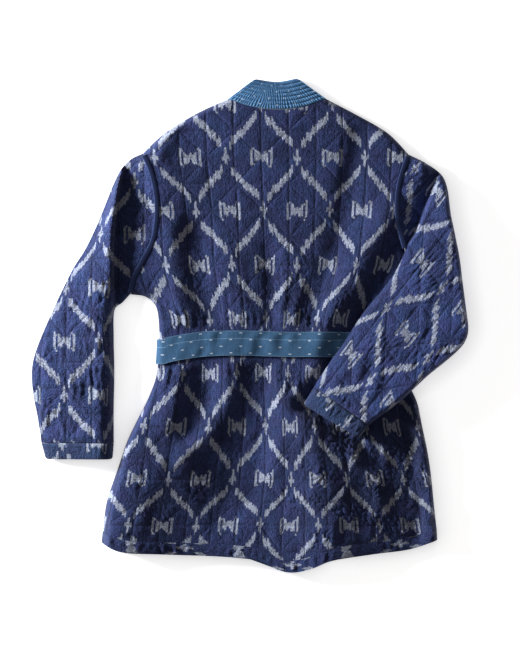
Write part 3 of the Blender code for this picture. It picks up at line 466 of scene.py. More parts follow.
class Nodes:
    """A material, and short ways to write its nodes."""

    def __init__(self, name):
        self.material = bpy.data.materials.new(name)
        self.material.use_nodes = True
        self.tree = self.material.node_tree

    def fill(self, node, inputs):
        """Links or sets a node's inputs, given by name or number."""
        for key, value in inputs.items():
            if isinstance(value, Value):
                self.tree.links.new(value.socket, node.inputs[key])
            else:
                node.inputs[key].default_value = (*value, 1) if isinstance(value, tuple) else value

    def add(self, kind, inputs, output=0, **settings):
        node = self.tree.nodes.new(kind)
        for key, value in settings.items():
            setattr(node, key, value)
        self.fill(node, inputs)
        return Value(self, node.outputs[output])

    def place(self):
        """The place on the cloth, whole and as its two parts."""
        place = self.add("ShaderNodeUVMap", {}, uv_map="cloth")
        return place, *(self.add("ShaderNodeSeparateXYZ", {0: place}, k) for k in (0, 1))

    def sum(self, operation, a, b=0, c=0):
        return self.add("ShaderNodeMath", {0: a, 1: b, 2: c}, operation=operation)

    def blend(self, share, a, b, mode="MIX"):
        return self.add("ShaderNodeMix", {0: share, 6: a, 7: b}, 2, data_type="RGBA", blend_type=mode)

    def under(self, value, limit, soft):
        """1 where value is below limit, 0 above it, over a soft edge."""
        ends = {0: value, 1: limit - soft, 2: limit + soft, 3: 1, 4: 0}
        return self.add("ShaderNodeMapRange", ends, interpolation_type="SMOOTHSTEP")

    def noise(self, place, scale, detail=2, rough=0.5):
        return self.add("ShaderNodeTexNoise", {"Vector": place, "Scale": scale, "Detail": detail, "Roughness": rough})

    def pack(self, x, y):
        return self.add("ShaderNodeCombineXYZ", {0: x, 1: y})

    def finish(self, colour, roughness, others, height=None, strength=0, depth=0):
        """The material, with height as its bump."""
        others = {"Base Color": colour, "Roughness": roughness, **others}
        if height:
            others["Normal"] = self.add("ShaderNodeBump", {"Height": height, "Strength": strength, "Distance": depth})
        self.fill(self.tree.nodes["Principled BSDF"], others)
        return self.material


def kasuri(name, turned=False, quilt=(QUILT_PITCH, 0, 0), deep=(0.0056, 0.0084, 0.033),
           pale=(0.0305, 0.0455, 0.145), slants=0.28):
    """Indigo cotton with a tied and dyed pattern in its warp: bars that cross in a diamond lattice, with a bracketed
    bow in each diamond and a small cross at each corner. The edges are ragged, a few threads at a time."""
    n = Nodes(name)
    place, x, y = n.place()
    across, along = (y * 1000, x * 1000) if turned else (x * 1000, y * 1000)
    stretched = n.pack(x * 0.12, y) if turned else n.pack(x, y * 0.12)
    across = across + (n.noise(place, 22, 1) - 0.5) * 2
    bundle, thread = (n.add("ShaderNodeTexWhiteNoise", {"W": math.floor(across / width)}, "Value",
                            noise_dimensions="1D") for width in (3.9, 0.9))
    slipped = along + ((bundle - 0.5) * 6.4 + (thread - 0.5) * 2)
    row = round(slipped / (1000 * ROW))
    up = abs(slipped - row * (1000 * ROW))
    half = 500 * COLUMN
    crosses = (1 - row % 2) * half
    side = abs((across - crosses + half) % (2 * half) - half)
    bow = half - side
    stair = (math.floor(side / 4.6) + 0.5) * 4.6
    bar_middle = (side * 0.15 + stair * 0.85 - 0.5 * half) * 1.04 + 500 * ROW
    bar = n.under(abs(up - bar_middle), 6.6, 1) * (1 - n.under(side, 6.6, 0.5))
    post = n.under(side, 1.9, 0.7) * n.under(up, 13, 1)
    arm = n.under(side, 6.2, 0.7) * n.under(up, 3.2, 1)
    bracket = n.under(abs(bow - 15.6), 1.9, 0.6) * n.under(up, 13.4, 0.8)
    serif = n.under(abs(bow - 13.6), 2.6, 0.6) * n.under(abs(up - 12.4), 1.5, 0.6)
    bow_half = n.sum("SMOOTH_MIN", bow * 0.62, 5.2, 1) + 4.4
    motif = n.under(up, bow_half, 0.9) * n.under(bow, 10.4, 0.7)
    for shape in (bar, post, arm, bracket, serif):
        motif = n.sum("MAXIMUM", motif, shape)
    slub = n.noise(stretched, 900, 2, 0.6)
    fleck = n.noise(place, 620, 2, 0.7)
    worn = motif * n.under(n.noise(place, 760, 1) * 0.5 + slub * 0.5, 0.57, 0.13)
    shade = slub * 0.32 + fleck * 0.5 + n.noise(place, 14, 3, 0.6) * 0.18
    dyed = n.blend(shade * 8.2 - 3.55, deep, pale)
    cast = n.blend(n.noise(place, 34) * 2.4 - 0.7, (1.14, 0.93, 0.98), (0.86, 1.07, 1.02))
    undyed = n.blend((slub + fleck) * 2.6 - 2.05, (0.11, 0.12, 0.16), (0.54, 0.58, 0.69))
    colour = n.blend(worn * 0.93, n.blend(1, dyed, cast, "MULTIPLY"), undyed)
    crease = abs(n.noise(place, 120, 4, 0.62) - 0.5) * 2.7 + abs(n.noise(place, 250, 2, 0.55) - 0.5) * 1.3
    creased = n.add("ShaderNodeAttribute", {}, "Fac", attribute_name="creased")
    height = n.noise(stretched, 260, 3, 0.6) * 0.45 + slub * 0.15 + crease * (creased + 0.6)
    if quilt:
        pitch, first_x, first_y = quilt
        u, v = (x - first_x) / pitch, (y - first_y) / pitch
        odd_square = (math.floor(u) + math.floor(v)) % 2
        u, v = n.sum("FRACT", u), n.sum("FRACT", v)
        slant = abs(u + v - 1) * odd_square + abs(u - v) * (1 - odd_square)
        upright, level = (n.sum("MINIMUM", t, 1 - t) for t in (u, v))
        # The quilting rows are darkened along their stitching (sewn): partly the thread, and partly painted shade of
        # the grooves they sew in.
        sewn = n.under(upright, 0.0009 / pitch, 0.0006 / pitch) * 0.66
        groove = n.under(upright, 0.0016 / pitch, 0.0014 / pitch)
        for line, width in ((level, 0.0006), (slant, 0.0008)):
            sewn = n.sum("MAXIMUM", sewn, n.under(line, width / pitch, 0.0005 / pitch) * slants)
            wide = n.under(line, (width + 0.001) / pitch, 0.0014 / pitch)
            groove = n.sum("MAXIMUM", groove, wide * min(1, 1.8 * slants))
        colour = n.blend(sewn, colour, (0.006, 0.008, 0.022))
        height = height - groove * 0.34
    soft = {"Specular IOR Level": 0.18, "Sheen Weight": 0.12, "Sheen Roughness": 0.5}
    return n.finish(colour, 0.88, soft, height, 0.8, 0.002)


indigo = kasuri("indigo_kasuri_cloth")

# Where the back is more crumpled than elsewhere: x, y and radius in millimetres, and how much more
CRUMPLED = (
    (245, -190, 100, 1.1), (170, -150, 70, 0.8), (60, 40, 60, 0.4), (-100, 60, 60, 0.3), (20, -100, 80, 0.35),
    (-120, -100, 60, 0.25), (130, -300, 80, 0.8), (270, -320, 60, 0.9), (160, 60, 70, 0.5), (-180, -280, 60, 0.35),
    (-40, -280, 90, 0.25),
)


def crumple(points):
    """How strong the washed-in creases are at each place."""
    return 0.24 + sum(more * np.exp(-((1000 * points - (x, y)) ** 2).sum(1) / radius**2)
                      for x, y, radius, more in CRUMPLED)


outline = join(NECK, TOP_RIGHT, ARM_RIGHT, ARM_RIGHT_LAPPED, FLANK_RIGHT, BAND_SEAM[::-1], FLANK_LEFT[::-1],
               ARM_LEFT[::-1], TOP_LEFT[::-1])
panel = Panel(outline, THREAD_STEP, (back_cloth, back_plan), EDGE_RINGS)
plain = Panel(outline, PLAIN_STEP, (back_cloth, back_plan), EDGE_RINGS[1:2])

# Its quilting and washed-in creases are pressed flat under the belt and at the seams
cloth = panel.cloth
from_belt = distance(panel.points, BELT_LINE) - 0.5 * BELT_WIDTH
pressed = 1 - ease(1 - (from_belt - 0.004) / 0.012)
covered = 1 - 0.8 * ease(depth_in(panel.points, SLEEVE_OVER) / 0.01)
creased = ripples(cloth, 11, 0.0008, (0.01, 0.024), 1, sharp=True) + ripples(cloth, 12, 0.0008, (0.03, 0.07), 0.8)
gathered = ripples(cloth, 14, 0.0011, (0.012, 0.028), 0.12) * np.exp(-np.maximum(from_belt, 0) / 0.045)
fullness = np.clip(0.75 + ripples(cloth, 13, 0.45, (0.05, 0.12), 1.5), 0.15, 1.3)
relief = fullness * puffs(cloth, QUILT_PITCH, 0.0011) + crumple(panel.points) * creased + gathered
relief *= pressed * panel.free(0.008) * covered
back = cloth_wall("back_cloth", panel, plain, back_top, relief, indigo, creased=crumple)
dress(back, "back", (0.56, 0.74), ("front_left", "front_right"))

# The hem bands. A 20 mm band of the same cloth cut across its threads, sewn along the foot of back and fronts.
BAND_STEP = 0.0028
BAND_ORIGIN = np.array((-0.02, 0.012))  # a bow of the pattern, from the band's edge
indigo_cross = kasuri("indigo_kasuri_cut_across", turned=True, quilt=None)


def above_hem(points):
    """The hem's edge at each point's x, as (0, y)."""
    return np.column_stack([np.zeros(len(points)), np.interp(points[:, 0], *HEM.T)])


def band_cloth(points):
    """Along the band, and up from its edge."""
    return points - above_hem(points) - BAND_ORIGIN


def band_plan(cloth):
    spread = cloth + BAND_ORIGIN
    return spread + above_hem(spread)


outline = join(BAND_SEAM, HEM_RIGHT, HEM[::-1], HEM_LEFT[::-1])
panel = Panel(outline, BAND_STEP, (band_cloth, band_plan), EDGE_RINGS[:2])
plain = Panel(outline, PLAIN_STEP, (band_cloth, band_plan))
relief = (0.0006 + ripples(panel.cloth, 21, 0.0007, (0.007, 0.018))) * panel.free(0.006)
band = cloth_wall("hem_band", panel, plain, back_top, relief, indigo_cross)
dress(band, "hem_band_back", (0.56, 0.021), ("hem_band_front_left", "hem_band_front_right"))

# The fronts. Plain walls under the back, flat on the floor, with their hem bands and the collar bands that meet at
# the centre front.
FRONTS_MEET = 0.095


def same_place(points):
    return points


def straight(*points):
    """Evenly spaced points on straight runs between the given ones."""
    runs = [smooth((a, b)) for a, b in zip(points, points[1:])]
    return np.vstack([run[:-1] for run in runs] + [runs[-1][-1:]])


def front_piece(name, node, outline, material, flat, rests=()):
    panel = Panel(outline, COARSE, (same_place, same_place), EDGE_RINGS[1:2])
    dress(cloth_wall(name, panel, panel, front_top, 0, material, front_under), node, flat, rests)


def foot_at(x, line):
    """The point of a hem line at this x."""
    return x, np.interp(x, *line.T)


for side, sign, shoulder, armhole, flank, hem_side in (
    ("left", -1, TOP_LEFT, ARM_LEFT, FLANK_LEFT, HEM_LEFT),
    ("right", 1, TOP_RIGHT, np.vstack([ARM_RIGHT, ARM_RIGHT_LAPPED[1:]]), FLANK_RIGHT, HEM_RIGHT),
):
    seam_x = CENTRE_FRONT + sign * COLLAR_WIDTH
    seam_end, hem_end = foot_at(seam_x, BAND_SEAM), foot_at(seam_x, HEM)
    seam_part, hem_part = (np.vstack([line[sign * (line[:, 0] - seam_x) > 0.002][::-sign], end])
                           for line, end in ((BAND_SEAM, seam_end), (HEM, hem_end)))
    opening = straight(shoulder[0], (seam_x, FRONTS_MEET), seam_end)
    front_piece(f"front_cloth_{side}", f"front_{side}", join(shoulder, armhole, flank, seam_part, opening[::-1]),
                indigo, (0.3, 0.72), ("belt_front",))
    outline = join(hem_side, hem_part, np.array((hem_end, seam_end)), seam_part[::-1])
    front_piece(f"front_hem_{side}", f"hem_band_front_{side}", outline, indigo_cross,
                (0.24, 0.021))

# The collar. A doubled band of paler cotton round the back neck, quilted along its length with close rows of
# stitching, and turned down over the fronts on both sides.
COLLAR_EDGE = ((6, 394), (43, 389), (78, 395))
COLLAR_LENGTH = 0.165  # along its seam
COLLAR_HEAD = 0.075  # and along its free edge
COLLAR_CORNER = 0.005  # radius of its two free corners
COLLAR_WALL = 0.0045
COLLAR_ROWS = 7
COLLAR_POINTS = 170  # mesh points along it
DASH_ROW, DASH_STEP = 0.0107, 0.0315  # spacing of the rows of white stitches, and of the stitches in a row


def sashiko(name, deep, pale, width, first_dash, stitch_row=0, rows=0):
    """Paler cotton with short white stitches in staggered rows. Its UV runs along the band and up from its foot."""
    n = Nodes(name)
    place, along, up = n.place()
    down = width - up
    row = round((down - first_dash) / DASH_ROW)
    off_row = abs(down - first_dash - row * DASH_ROW)
    off_step = abs((along + row % 2 * (0.5 * DASH_STEP)) % DASH_STEP - 0.5 * DASH_STEP)
    dash = n.under(off_row, 0.00085, 0.0004) * n.under(off_step, 0.0021, 0.0006)
    edge = n.sum("MAXIMUM", n.under(up, 0.0011, 0.0005), n.under(down, 0.0011, 0.0005))
    weave = n.noise(n.pack(along * 0.35, up), 900, 2, 0.6)
    cross = n.noise(n.pack(along, up * 0.3), 330, 2, 0.6)
    mixed = cross * 0.45 + (weave * 0.25 + n.noise(place, 26, 2, 0.6) * 0.3)
    colour = n.blend(edge * 0.35, n.blend(mixed * 2 - 0.5, deep, pale), (0.16, 0.26, 0.38))
    if rows:
        ridge = abs(n.sum("FRACT", up * (rows / width)) - 0.5)
        colour = n.blend(n.under(0.5 - ridge, 0.07, 0.05) * 0.4, colour, (0.018, 0.05, 0.105))
    else:
        thread = n.under(abs(down - stitch_row), 0.0004, 0.00025)
        colour = n.blend(thread * 0.55, colour, (0.22, 0.36, 0.5))
    colour = n.blend(dash * 0.9, colour, (0.44, 0.5, 0.58))
    return n.finish(colour, 0.85, {"Specular IOR Level": 0.2}, cross * 0.8 + weave * 0.3, 0.6, 0.0008)


def strip(name, outer, inner, cloth, material):
    """A band between two grids of points, rows along it and columns across it, with its sides and ends closed."""
    count = outer[..., 0].size
    number = np.arange(count).reshape(outer.shape[:2])
    a, b, c, d = number[:-1, :-1], number[1:, :-1], number[1:, 1:], number[:-1, 1:]
    faces = [np.stack([a, b, c, d], -1).reshape(-1, 4), np.stack([a, d, c, b], -1).reshape(-1, 4) + count]
    for line in (number[:, 0], number[::-1, -1], number[0, ::-1], number[-1]):
        near, far = line[:-1], line[1:]
        faces.append(np.stack([near, near + count, far + count, far], -1))
    points = np.vstack([outer.reshape(-1, 3), inner.reshape(-1, 3)])
    piece = make_cloth(name, points, np.concatenate(faces), np.vstack([cloth.reshape(-1, 2)] * 2), material)
    cleaner = bmesh.new()
    cleaner.from_mesh(piece.data)
    bmesh.ops.recalc_face_normals(cleaner, faces=cleaner.faces)
    cleaner.to_mesh(piece.data)
    cleaner.free()
    return piece


def band_grid(run, shares, width):
    """Places on the cloth of a band's points, from how far along it they are and their share of its width."""
    return np.stack(np.broadcast_arrays(run[:, None], ((shares + 0.5) * width)[None]), -1)


pale_collar = sashiko("pale_sashiko_cloth", (0.032, 0.102, 0.23), (0.13, 0.29, 0.5), COLLAR_WIDTH, 0.0062,
                      rows=COLLAR_ROWS)
foot, head = resample(drawn(NECK_SEAM), COLLAR_POINTS), resample(drawn(COLLAR_EDGE), COLLAR_POINTS)
share = np.linspace(0, 1, COLLAR_POINTS)
swell = np.minimum(1, np.sin(math.pi * share) ** 0.5)
along = COLLAR_LENGTH * (share - 0.5)
outer, inner, cloth = [], [], []
for w in np.linspace(0, 1, 8 * COLLAR_ROWS + 1):
    corner = max(0, (w - 1) * COLLAR_WIDTH / COLLAR_CORNER + 1)
    cut = 2 * COLLAR_CORNER / COLLAR_HEAD * (1 - math.sqrt(1 - 0.96 * corner**2))
    line = foot + (head - foot) * (0.007 + 1.022 * w)
    line = np.column_stack([np.interp(0.5 + (share - 0.5) * (1 - cut), share, column) for column in line.T])
    line[0] += (0.0002, 0)
    line[-1] -= (0.0002, 0)
    middle = BODY_TOP + BODY_CROWN - 0.0075 * w**1.5
    base = WALL + 2 * SEAM_GAP + (middle - COLLAR_WALL - WALL - SEAM_GAP) * swell
    ridge = abs(math.sin(math.pi * COLLAR_ROWS * w)) ** 0.7
    drift = 1.6 * np.sin(along / 0.0085 + 5 * w) + 1.2 * np.sin(along / 0.0047 - 8 * w)
    gathers = 0.0009 * np.sin(2 * math.pi * along / 0.0044 + drift)
    inner.append(np.column_stack([line, base]))
    outer.append(np.column_stack([line, base + COLLAR_WALL + ridge * (0.0012 + gathers)]))
    cloth.append(np.column_stack([along, np.full(COLLAR_POINTS, COLLAR_WIDTH * w)]))
collar = strip("collar_band", np.array(outer), np.array(inner), np.array(cloth), pale_collar)
dress(collar, "collar_back", (0.16, 0.045), ())

for side, sign, shoulder in (("left", -1, TOP_LEFT), ("right", 1, TOP_RIGHT)):
    seam_x = CENTRE_FRONT + sign * COLLAR_WIDTH
    free_x = CENTRE_FRONT + sign * 0.5 * SEAM_GAP
    lower = straight(shoulder[0], (seam_x, FRONTS_MEET), foot_at(seam_x, HEM))
    free = straight((CENTRE_FRONT + sign * 0.036, 0.394), (free_x, FRONTS_MEET), foot_at(free_x, HEM))
    outline = join(lower, np.array([lower[-1], free[-1]]), free[::-1], np.array([free[0], lower[0]]))
    front_piece(f"collar_band_{side}", f"collar_front_{side}", outline, pale_collar, (0.045, 0.8))

# The belt. A doubled sash of steel-blue cotton without wadding, over the back, round both sides and under the fronts.
BELT_CLEARANCE = 0.0009
BELT_TURN_HEIGHTS = (0.0034, 0.006, 0.0094)  # stations up the side of the body
BELT_TURN_INSETS = (0.0008, 0.0018, 0.003, 0.0045, 0.006, 0.008, 0.01)  # and over its rolled edge
BELT_PAST_BODY = 0.003  # how far its front stretch shows beyond the body's edge
pale_belt = sashiko("pale_sashiko_belt_cloth", (0.024, 0.066, 0.135), (0.052, 0.125, 0.225), BELT_WIDTH, 0.0036,
                    0.0128)
belt_shares = np.linspace(-0.5, 0.5, 17)
belt_run = drawn(BELT_CENTRE)
belt_square = left_of(unit(np.gradient(belt_run, axis=0)))


def on_back(points):
    """Points of the belt's inner face where it lies on the back."""
    return np.column_stack([points, back_top(points) + BELT_CLEARANCE])


def turned_down(place, square, flank, sign):
    """Points across the belt as it comes up round the body's edge, from the floor inwards."""
    points = place + belt_shares[:, None] * BELT_WIDTH * square
    edge = np.interp(points[:, 1], flank[::-1, 1], flank[::-1, 0])
    for z in BELT_TURN_HEIGHTS:
        yield np.column_stack([edge - sign * BELT_CLEARANCE, points[:, 1], np.full(len(edge), z)])
    for inward in BELT_TURN_INSETS:
        yield on_back(np.column_stack([edge + sign * inward, points[:, 1]]))


inner = list(turned_down(belt_run[0], belt_square[0], FLANK_LEFT, 1))
for place, square in list(zip(belt_run, belt_square))[4:-4]:
    inner.append(on_back(place + belt_shares[:, None] * BELT_WIDTH * square))
inner += list(turned_down(belt_run[-1], belt_square[-1], FLANK_RIGHT, -1))[::-1]
inner = np.array(inner)
lift = unit(np.cross(np.gradient(inner, axis=0), np.gradient(inner, axis=1)))
cloth = band_grid(run_along(inner[:, len(belt_shares) // 2]), belt_shares, BELT_WIDTH)
rumples = ripples(cloth.reshape(-1, 2), 41, 0.0005, (0.012, 0.045), 0.5).reshape(cloth.shape[:2])
rumples *= ease((0.5 - np.abs(belt_shares)) / 0.12)
outer = inner + lift * (BELT_WALL + rumples)[..., None]
belt = strip("belt_band", outer, inner, cloth, pale_belt)
dress(belt, "belt_back", (0.42, 0.04), ("back",))

low = belt_run[:, None] + np.linspace(-0.5, 0.5, 5)[None, :, None] * BELT_WIDTH * belt_square[:, None]
for end, flank, past in ((0, FLANK_LEFT, -BELT_PAST_BODY), (-1, FLANK_RIGHT, BELT_PAST_BODY)):
    low[end, :, 0] = np.interp(low[end, :, 1], flank[::-1, 1], flank[::-1, 0]) + past
floor_level = np.zeros(low.shape[:2])
belt_low = strip("belt_band_front", np.dstack([low, floor_level + BELT_WALL]), np.dstack([low, floor_level]), low,
                 pale_belt)
dress(belt_low, "belt_front", (0.4, 0.04), ())

# The sleeves. Flattened tubes of the quilted cloth: the left one lies on the floor beside the body, and the right one
# is folded across the back. Each stands up in an edge beside its armhole, with a deep hollow behind it.
SLEEVE_LEFT_OUTER = (
    (-171, 276), (-190, 267), (-205, 252), (-218, 228), (-232, 193), (-247, 157), (-264, 122), (-283, 92), (-305, 48),
    (-325, 4), (-341, -35), (-349, -66), (-348, -105), (-340, -148), (-334, -188),
)
SLEEVE_LEFT_INNER = ((-192, 50), (-204, 37), (-217, 24), (-218, -20), (-217, -75), (-218, -130), (-218, -188))
CUFF_LEFT_OUTER = ((-334, -188), (-327, -214))
CUFF_LEFT_INNER = ((-218, -188), (-220, -214))
PLEAT_LEFT = ((-205, 252), (-211, 222), (-217, 180), (-221, 130), (-221, 80), (-218, 28))
PLEAT_RIGHT = ((306, 242), (293, 210), (280, 178), (268, 148), (248, 120))
EDGE_REACH = 0.014  # how far from a sleeve's folded edge its upper layer is level
SLEEVE_FOLD = 0.0065  # middle of a sleeve's folded edge, above what it lies on
TALL_FOLD = 0.4  # and higher by this share of the sleeve's height there
UNDER_ROLL = 0.016  # how far in from that edge its lower layer is level
SLEEVE_LEAST = 0.0074  # from its underside to its upper layer
PLEAT_DROP = 0.0045  # how far past its standing edge the cloth drops
TURNED_SHARE = 0.85  # of a layer's drop at a folded edge, by which its cloth is longer
TURNED_REACH = 0.05  # how far in the lower layer's cloth shows it
VALLEY = 0.007  # bottom of the hollow between that edge and the armhole
SLEEVE_LIFT = 0.0202  # underside of the right sleeve where it lies on the back
CLIMB = (0.038, 0.004)  # outside the body's edge, where that underside starts and ends its climb
SLEEVE_PITCH = 0.0415
LEFT_STAR = (-0.053, -0.077)  # where the left sleeve's quilting crosses, from a bow of its pattern

# Height of the upper layer above what the sleeve lies on
LEFT_EDGE = (0.013, 0.029)  # at the inner side: low down, and where it stands beside the armhole
LEFT_CREST = 0.0335  # a little in from that side
LEFT_OUTER = 0.01  # at the outer side
LEFT_ROLL = (0.028, 0.01)  # how far in that crest is, low down and beside the armhole
RIGHT_EDGE = 0.024  # of the right sleeve where it stands beside the armhole
RIGHT_BESIDE = ((0, 0.04, 0.15), (0, 0.015, 0.019))  # how much higher it gets away from that edge
RIGHT_RAMP = (  # across it where it lies on the back
    (0, 0.03, 0.06, 0.09, 0.12, 0.16, 0.2), (0.0042, 0.015, 0.0215, 0.0258, 0.0325, 0.0375, 0.0385),
)
RIGHT_SINK = 0.006  # its inner side lies this much lower, in a fold of the back

# Each sleeve's side edges run on along its cuff
LEFT_FOLDED = [drawn(SLEEVE_LEFT_OUTER + CUFF_LEFT_OUTER[1:], COARSE),
               drawn(SLEEVE_LEFT_INNER + CUFF_LEFT_INNER[1:], COARSE)]
RIGHT_FOLDED = [drawn(SLEEVE_RIGHT_OUTER + CUFF_RIGHT_OUTER[1:], COARSE),
                drawn(SLEEVE_RIGHT_INNER + CUFF_RIGHT_INNER[1:], COARSE)]
LEFT_STANDING = np.array((PLEAT_LEFT + SLEEVE_LEFT_INNER[3:])[::-1]) / 1000
RIGHT_STANDING = np.array((PLEAT_RIGHT + SLEEVE_RIGHT_INNER[1:] + CUFF_RIGHT_INNER[1:])[::-1]) / 1000
LEFT_SLOPE, RIGHT_SLOPE = 1, -0.8  # of x as one goes square past those lines, towards the armhole


def past_pleat(points, line, slope):
    """Distance past a sleeve's standing edge, towards the armhole."""
    return slope * (points[:, 0] - np.interp(points[:, 1], line[:, 1], line[:, 0]))


def hollow_share(points, past, armhole):
    """How far a place is from a sleeve's standing edge on the way to its armhole, from 0 to 1."""
    beyond = np.maximum(past, 0)
    return beyond / (beyond + distance(points, armhole) + 1e-6)


def sleeve_heights(points, past, folded, rolls, under, edge, crest, hollow):
    """Undersides and tops of a sleeve's outer face."""
    recess = under + VALLEY + (back_top(points) - VALLEY) * hollow
    top = np.where(past > 0, edge + (recess - edge) * ease(past / PLEAT_DROP), crest)
    top = np.maximum(top, under + SLEEVE_LEAST)
    fold = SLEEVE_FOLD + TALL_FOLD * np.maximum(top - under - 2 * SLEEVE_FOLD, 0)
    away = [distance(points, line) for line in folded]
    full = np.min([roll(gap / width) for gap, width in zip(away, rolls)], axis=0)
    full_under = roll(np.min(away, axis=0) / UNDER_ROLL)
    return under + fold * (1 - full_under), under + fold + (top - under - fold) * full


def left_heights(points):
    """The left sleeve lies on the floor, with a long slope up from its outer side to a crest by the inner one."""
    y = points[:, 1]
    past = past_pleat(points, LEFT_STANDING, LEFT_SLOPE)
    on_sleeve = np.maximum(-past, 0)
    to_outer = distance(points, LEFT_FOLDED[0])
    slope = LEFT_OUTER + (LEFT_CREST - LEFT_OUTER) * to_outer / (to_outer + on_sleeve + 1e-6)
    edge = LEFT_EDGE[0] + (LEFT_EDGE[1] - LEFT_EDGE[0]) * ease((y - 0.03) / 0.06)
    width = LEFT_ROLL[0] + (LEFT_ROLL[1] - LEFT_ROLL[0]) * ease((y - 0.01) / 0.06)
    crest = edge + (slope - edge) * np.sin(0.5 * math.pi * np.clip(on_sleeve / width, 0, 1))
    hollow = hollow_share(points, past, ARM_LEFT) ** 1.6
    return sleeve_heights(points, past, LEFT_FOLDED, (0.02, 0.008), np.zeros(len(points)), edge, crest, hollow)


def right_heights(points):
    """The right sleeve lies on the floor, then climbs over the body's edge onto the back, and slopes up towards its
    outer side. In its hollow the cloth lies level beside the armhole's upper part before it dips."""
    y = points[:, 1]
    past = past_pleat(points, RIGHT_STANDING, RIGHT_SLOPE)
    on_sleeve = np.maximum(-past, 0)
    climb = np.clip((depth_in(points, BODY) + CLIMB[0]) / (CLIMB[0] - CLIMB[1]), 0, 1)
    sink = RIGHT_SINK * (1 - ease(-past / 0.04))
    under = (SLEEVE_LIFT - sink) * climb * ease((LAPPED_TOP - y) / LAPPED_FADE)
    lapped = ease((LAPPED_TOP - y) / 0.06)
    lift = SLEEVE_LIFT * ease((0.235 - y) / 0.135)
    edge = lift + RIGHT_EDGE + (RIGHT_RAMP[1][0] - RIGHT_EDGE) * lapped
    beside = RIGHT_EDGE + np.interp(on_sleeve, *RIGHT_BESIDE)
    crest = lift + beside + (np.interp(on_sleeve, *RIGHT_RAMP) - beside) * lapped
    share = hollow_share(points, past, ARM_RIGHT)
    hollow = share**2.2 + (ease(share / 0.5) - share**2.2) * ease((y - LAPPED_TOP) / 0.05)
    return sleeve_heights(points, past, RIGHT_FOLDED, (0.007, 0.009), under, edge, crest, hollow)


def turned_cloth(panel, heights, folded_edges, inward_at_rim, lower):
    """Place on the cloth of a tube's outer face, which runs on as it turns down to a folded edge."""
    away = nearest(panel.points, folded_edges)
    inward = np.column_stack([nearest(panel.points + step, folded_edges) - nearest(panel.points - step, folded_edges)
                              for step in np.diag((0.0004, 0.0004))])
    inward[panel.rim] = inward_at_rim
    near = away < (TURNED_REACH if lower else EDGE_REACH)
    points, away, inward = panel.points[near], away[near], unit(inward[near])
    crest = heights(points + inward * (EDGE_REACH - np.minimum(away, EDGE_REACH))[:, None])[1]
    here = heights(points - inward * away[:, None])[1] if lower else heights(points)[1]
    extra = TURNED_SHARE * np.maximum(crest - here, 0) * (np.exp(-away / UNDER_ROLL) if lower else 1)
    turned = panel.points.copy()
    turned[near] -= inward * extra[:, None]
    return panel.to_cloth(turned)


def cloth_tube(name, panel, plain, heights, open_ends, folded_edges, relief, material, creased):
    """A flattened tube: two layers that share their folded edges and are open at the ends."""
    ring = panel.points[panel.rim]
    at_end = nearest(ring, open_ends) < SEAM_GAP
    corner = at_end & ~(np.roll(at_end, 1) & np.roll(at_end, -1))
    folded = ~at_end | corner
    moved = inset(ring, WALL)
    for k in np.flatnonzero(corner):
        after = (k + 1) % len(ring)
        moved[k] = ring[k] + WALL * unit(ring[after if at_end[after] else k - 1] - ring[k])
    middle = np.mean(heights(ring), axis=0)
    layers, cloths, starts = [], [], [0]
    for which, level, shift in ((panel, 1, 0), (plain, 0, 0), (plain, 1, -WALL), (plain, 0, WALL)):
        points = np.column_stack([which.points, heights(which.points)[level]])
        rim = np.column_stack([ring, points[which.rim, 2] + shift])
        if shift:
            points += shift * normals_of(lambda spots: heights(spots)[level], which.points)
            cloths.append(which.cloth)
        else:
            cloths.append(turned_cloth(which, heights, folded_edges, moved - ring, which is plain))
        points[which.rim] = rim
        if which is panel:
            points[:, 2] += relief
        points[which.rim[folded]] = np.column_stack([moved if shift else ring, middle])[folded]
        layers.append(points)
        starts.append(starts[-1] + len(points))
    rims = [which.rim + start for which, start in zip((panel, plain, plain, plain), starts)]
    same = np.arange(starts[-1])
    same[rims[1][folded]] = rims[0][folded]
    same[rims[3][folded]] = rims[2][folded]
    faces = [panel.triangles, plain.triangles[:, ::-1] + starts[1], plain.triangles[:, ::-1] + starts[2],
             plain.triangles + starts[3]]
    before = np.flatnonzero(at_end & np.roll(at_end, -1))
    after = (before + 1) % len(ring)
    for a, b, near, far in ((rims[0], rims[2], before, after), (rims[1], rims[3], after, before)):
        faces.append(np.column_stack([a[near], b[near], b[far]]))
        faces.append(np.column_stack([a[near], b[far], a[far]]))
    faces = same[np.vstack(faces)]
    used, faces = np.unique(faces[(faces != np.roll(faces, 1, axis=1)).all(1)], return_inverse=True)
    return make_cloth(name, np.vstack(layers)[used], faces.reshape(-1, 3), np.vstack(cloths)[used], material, creased)


def woven(motif, turn):
    """Ways from places on a sleeve to its cloth and back. Motif is where a bow of the pattern lies."""
    back = np.linalg.inv(turn)
    return (lambda points: (points - motif) @ back.T), (lambda cloth: cloth @ turn.T + motif)


def groove(panel, seam):
    """How deeply a cuff's seam draws in the cloth beside it."""
    return 0.0016 * np.exp(-((distance(panel.points, seam) / 0.0022) ** 2))


def seam_pucker(panel, seam, seed):
    """The groove at a cuff's seam, and the small gathers that the seam draws up in the sleeve beside it."""
    away = distance(panel.points, seam)
    across_seam = np.column_stack([(panel.points - seam[0]) @ unit(seam[-1] - seam[0]), 0.2 * away])
    gathers = ripples(across_seam, seed, 0.0008, (0.007, 0.014), 0.1)
    return gathers * np.exp(-((away / 0.014) ** 2)) * ease(away / 0.003) - groove(panel, seam)


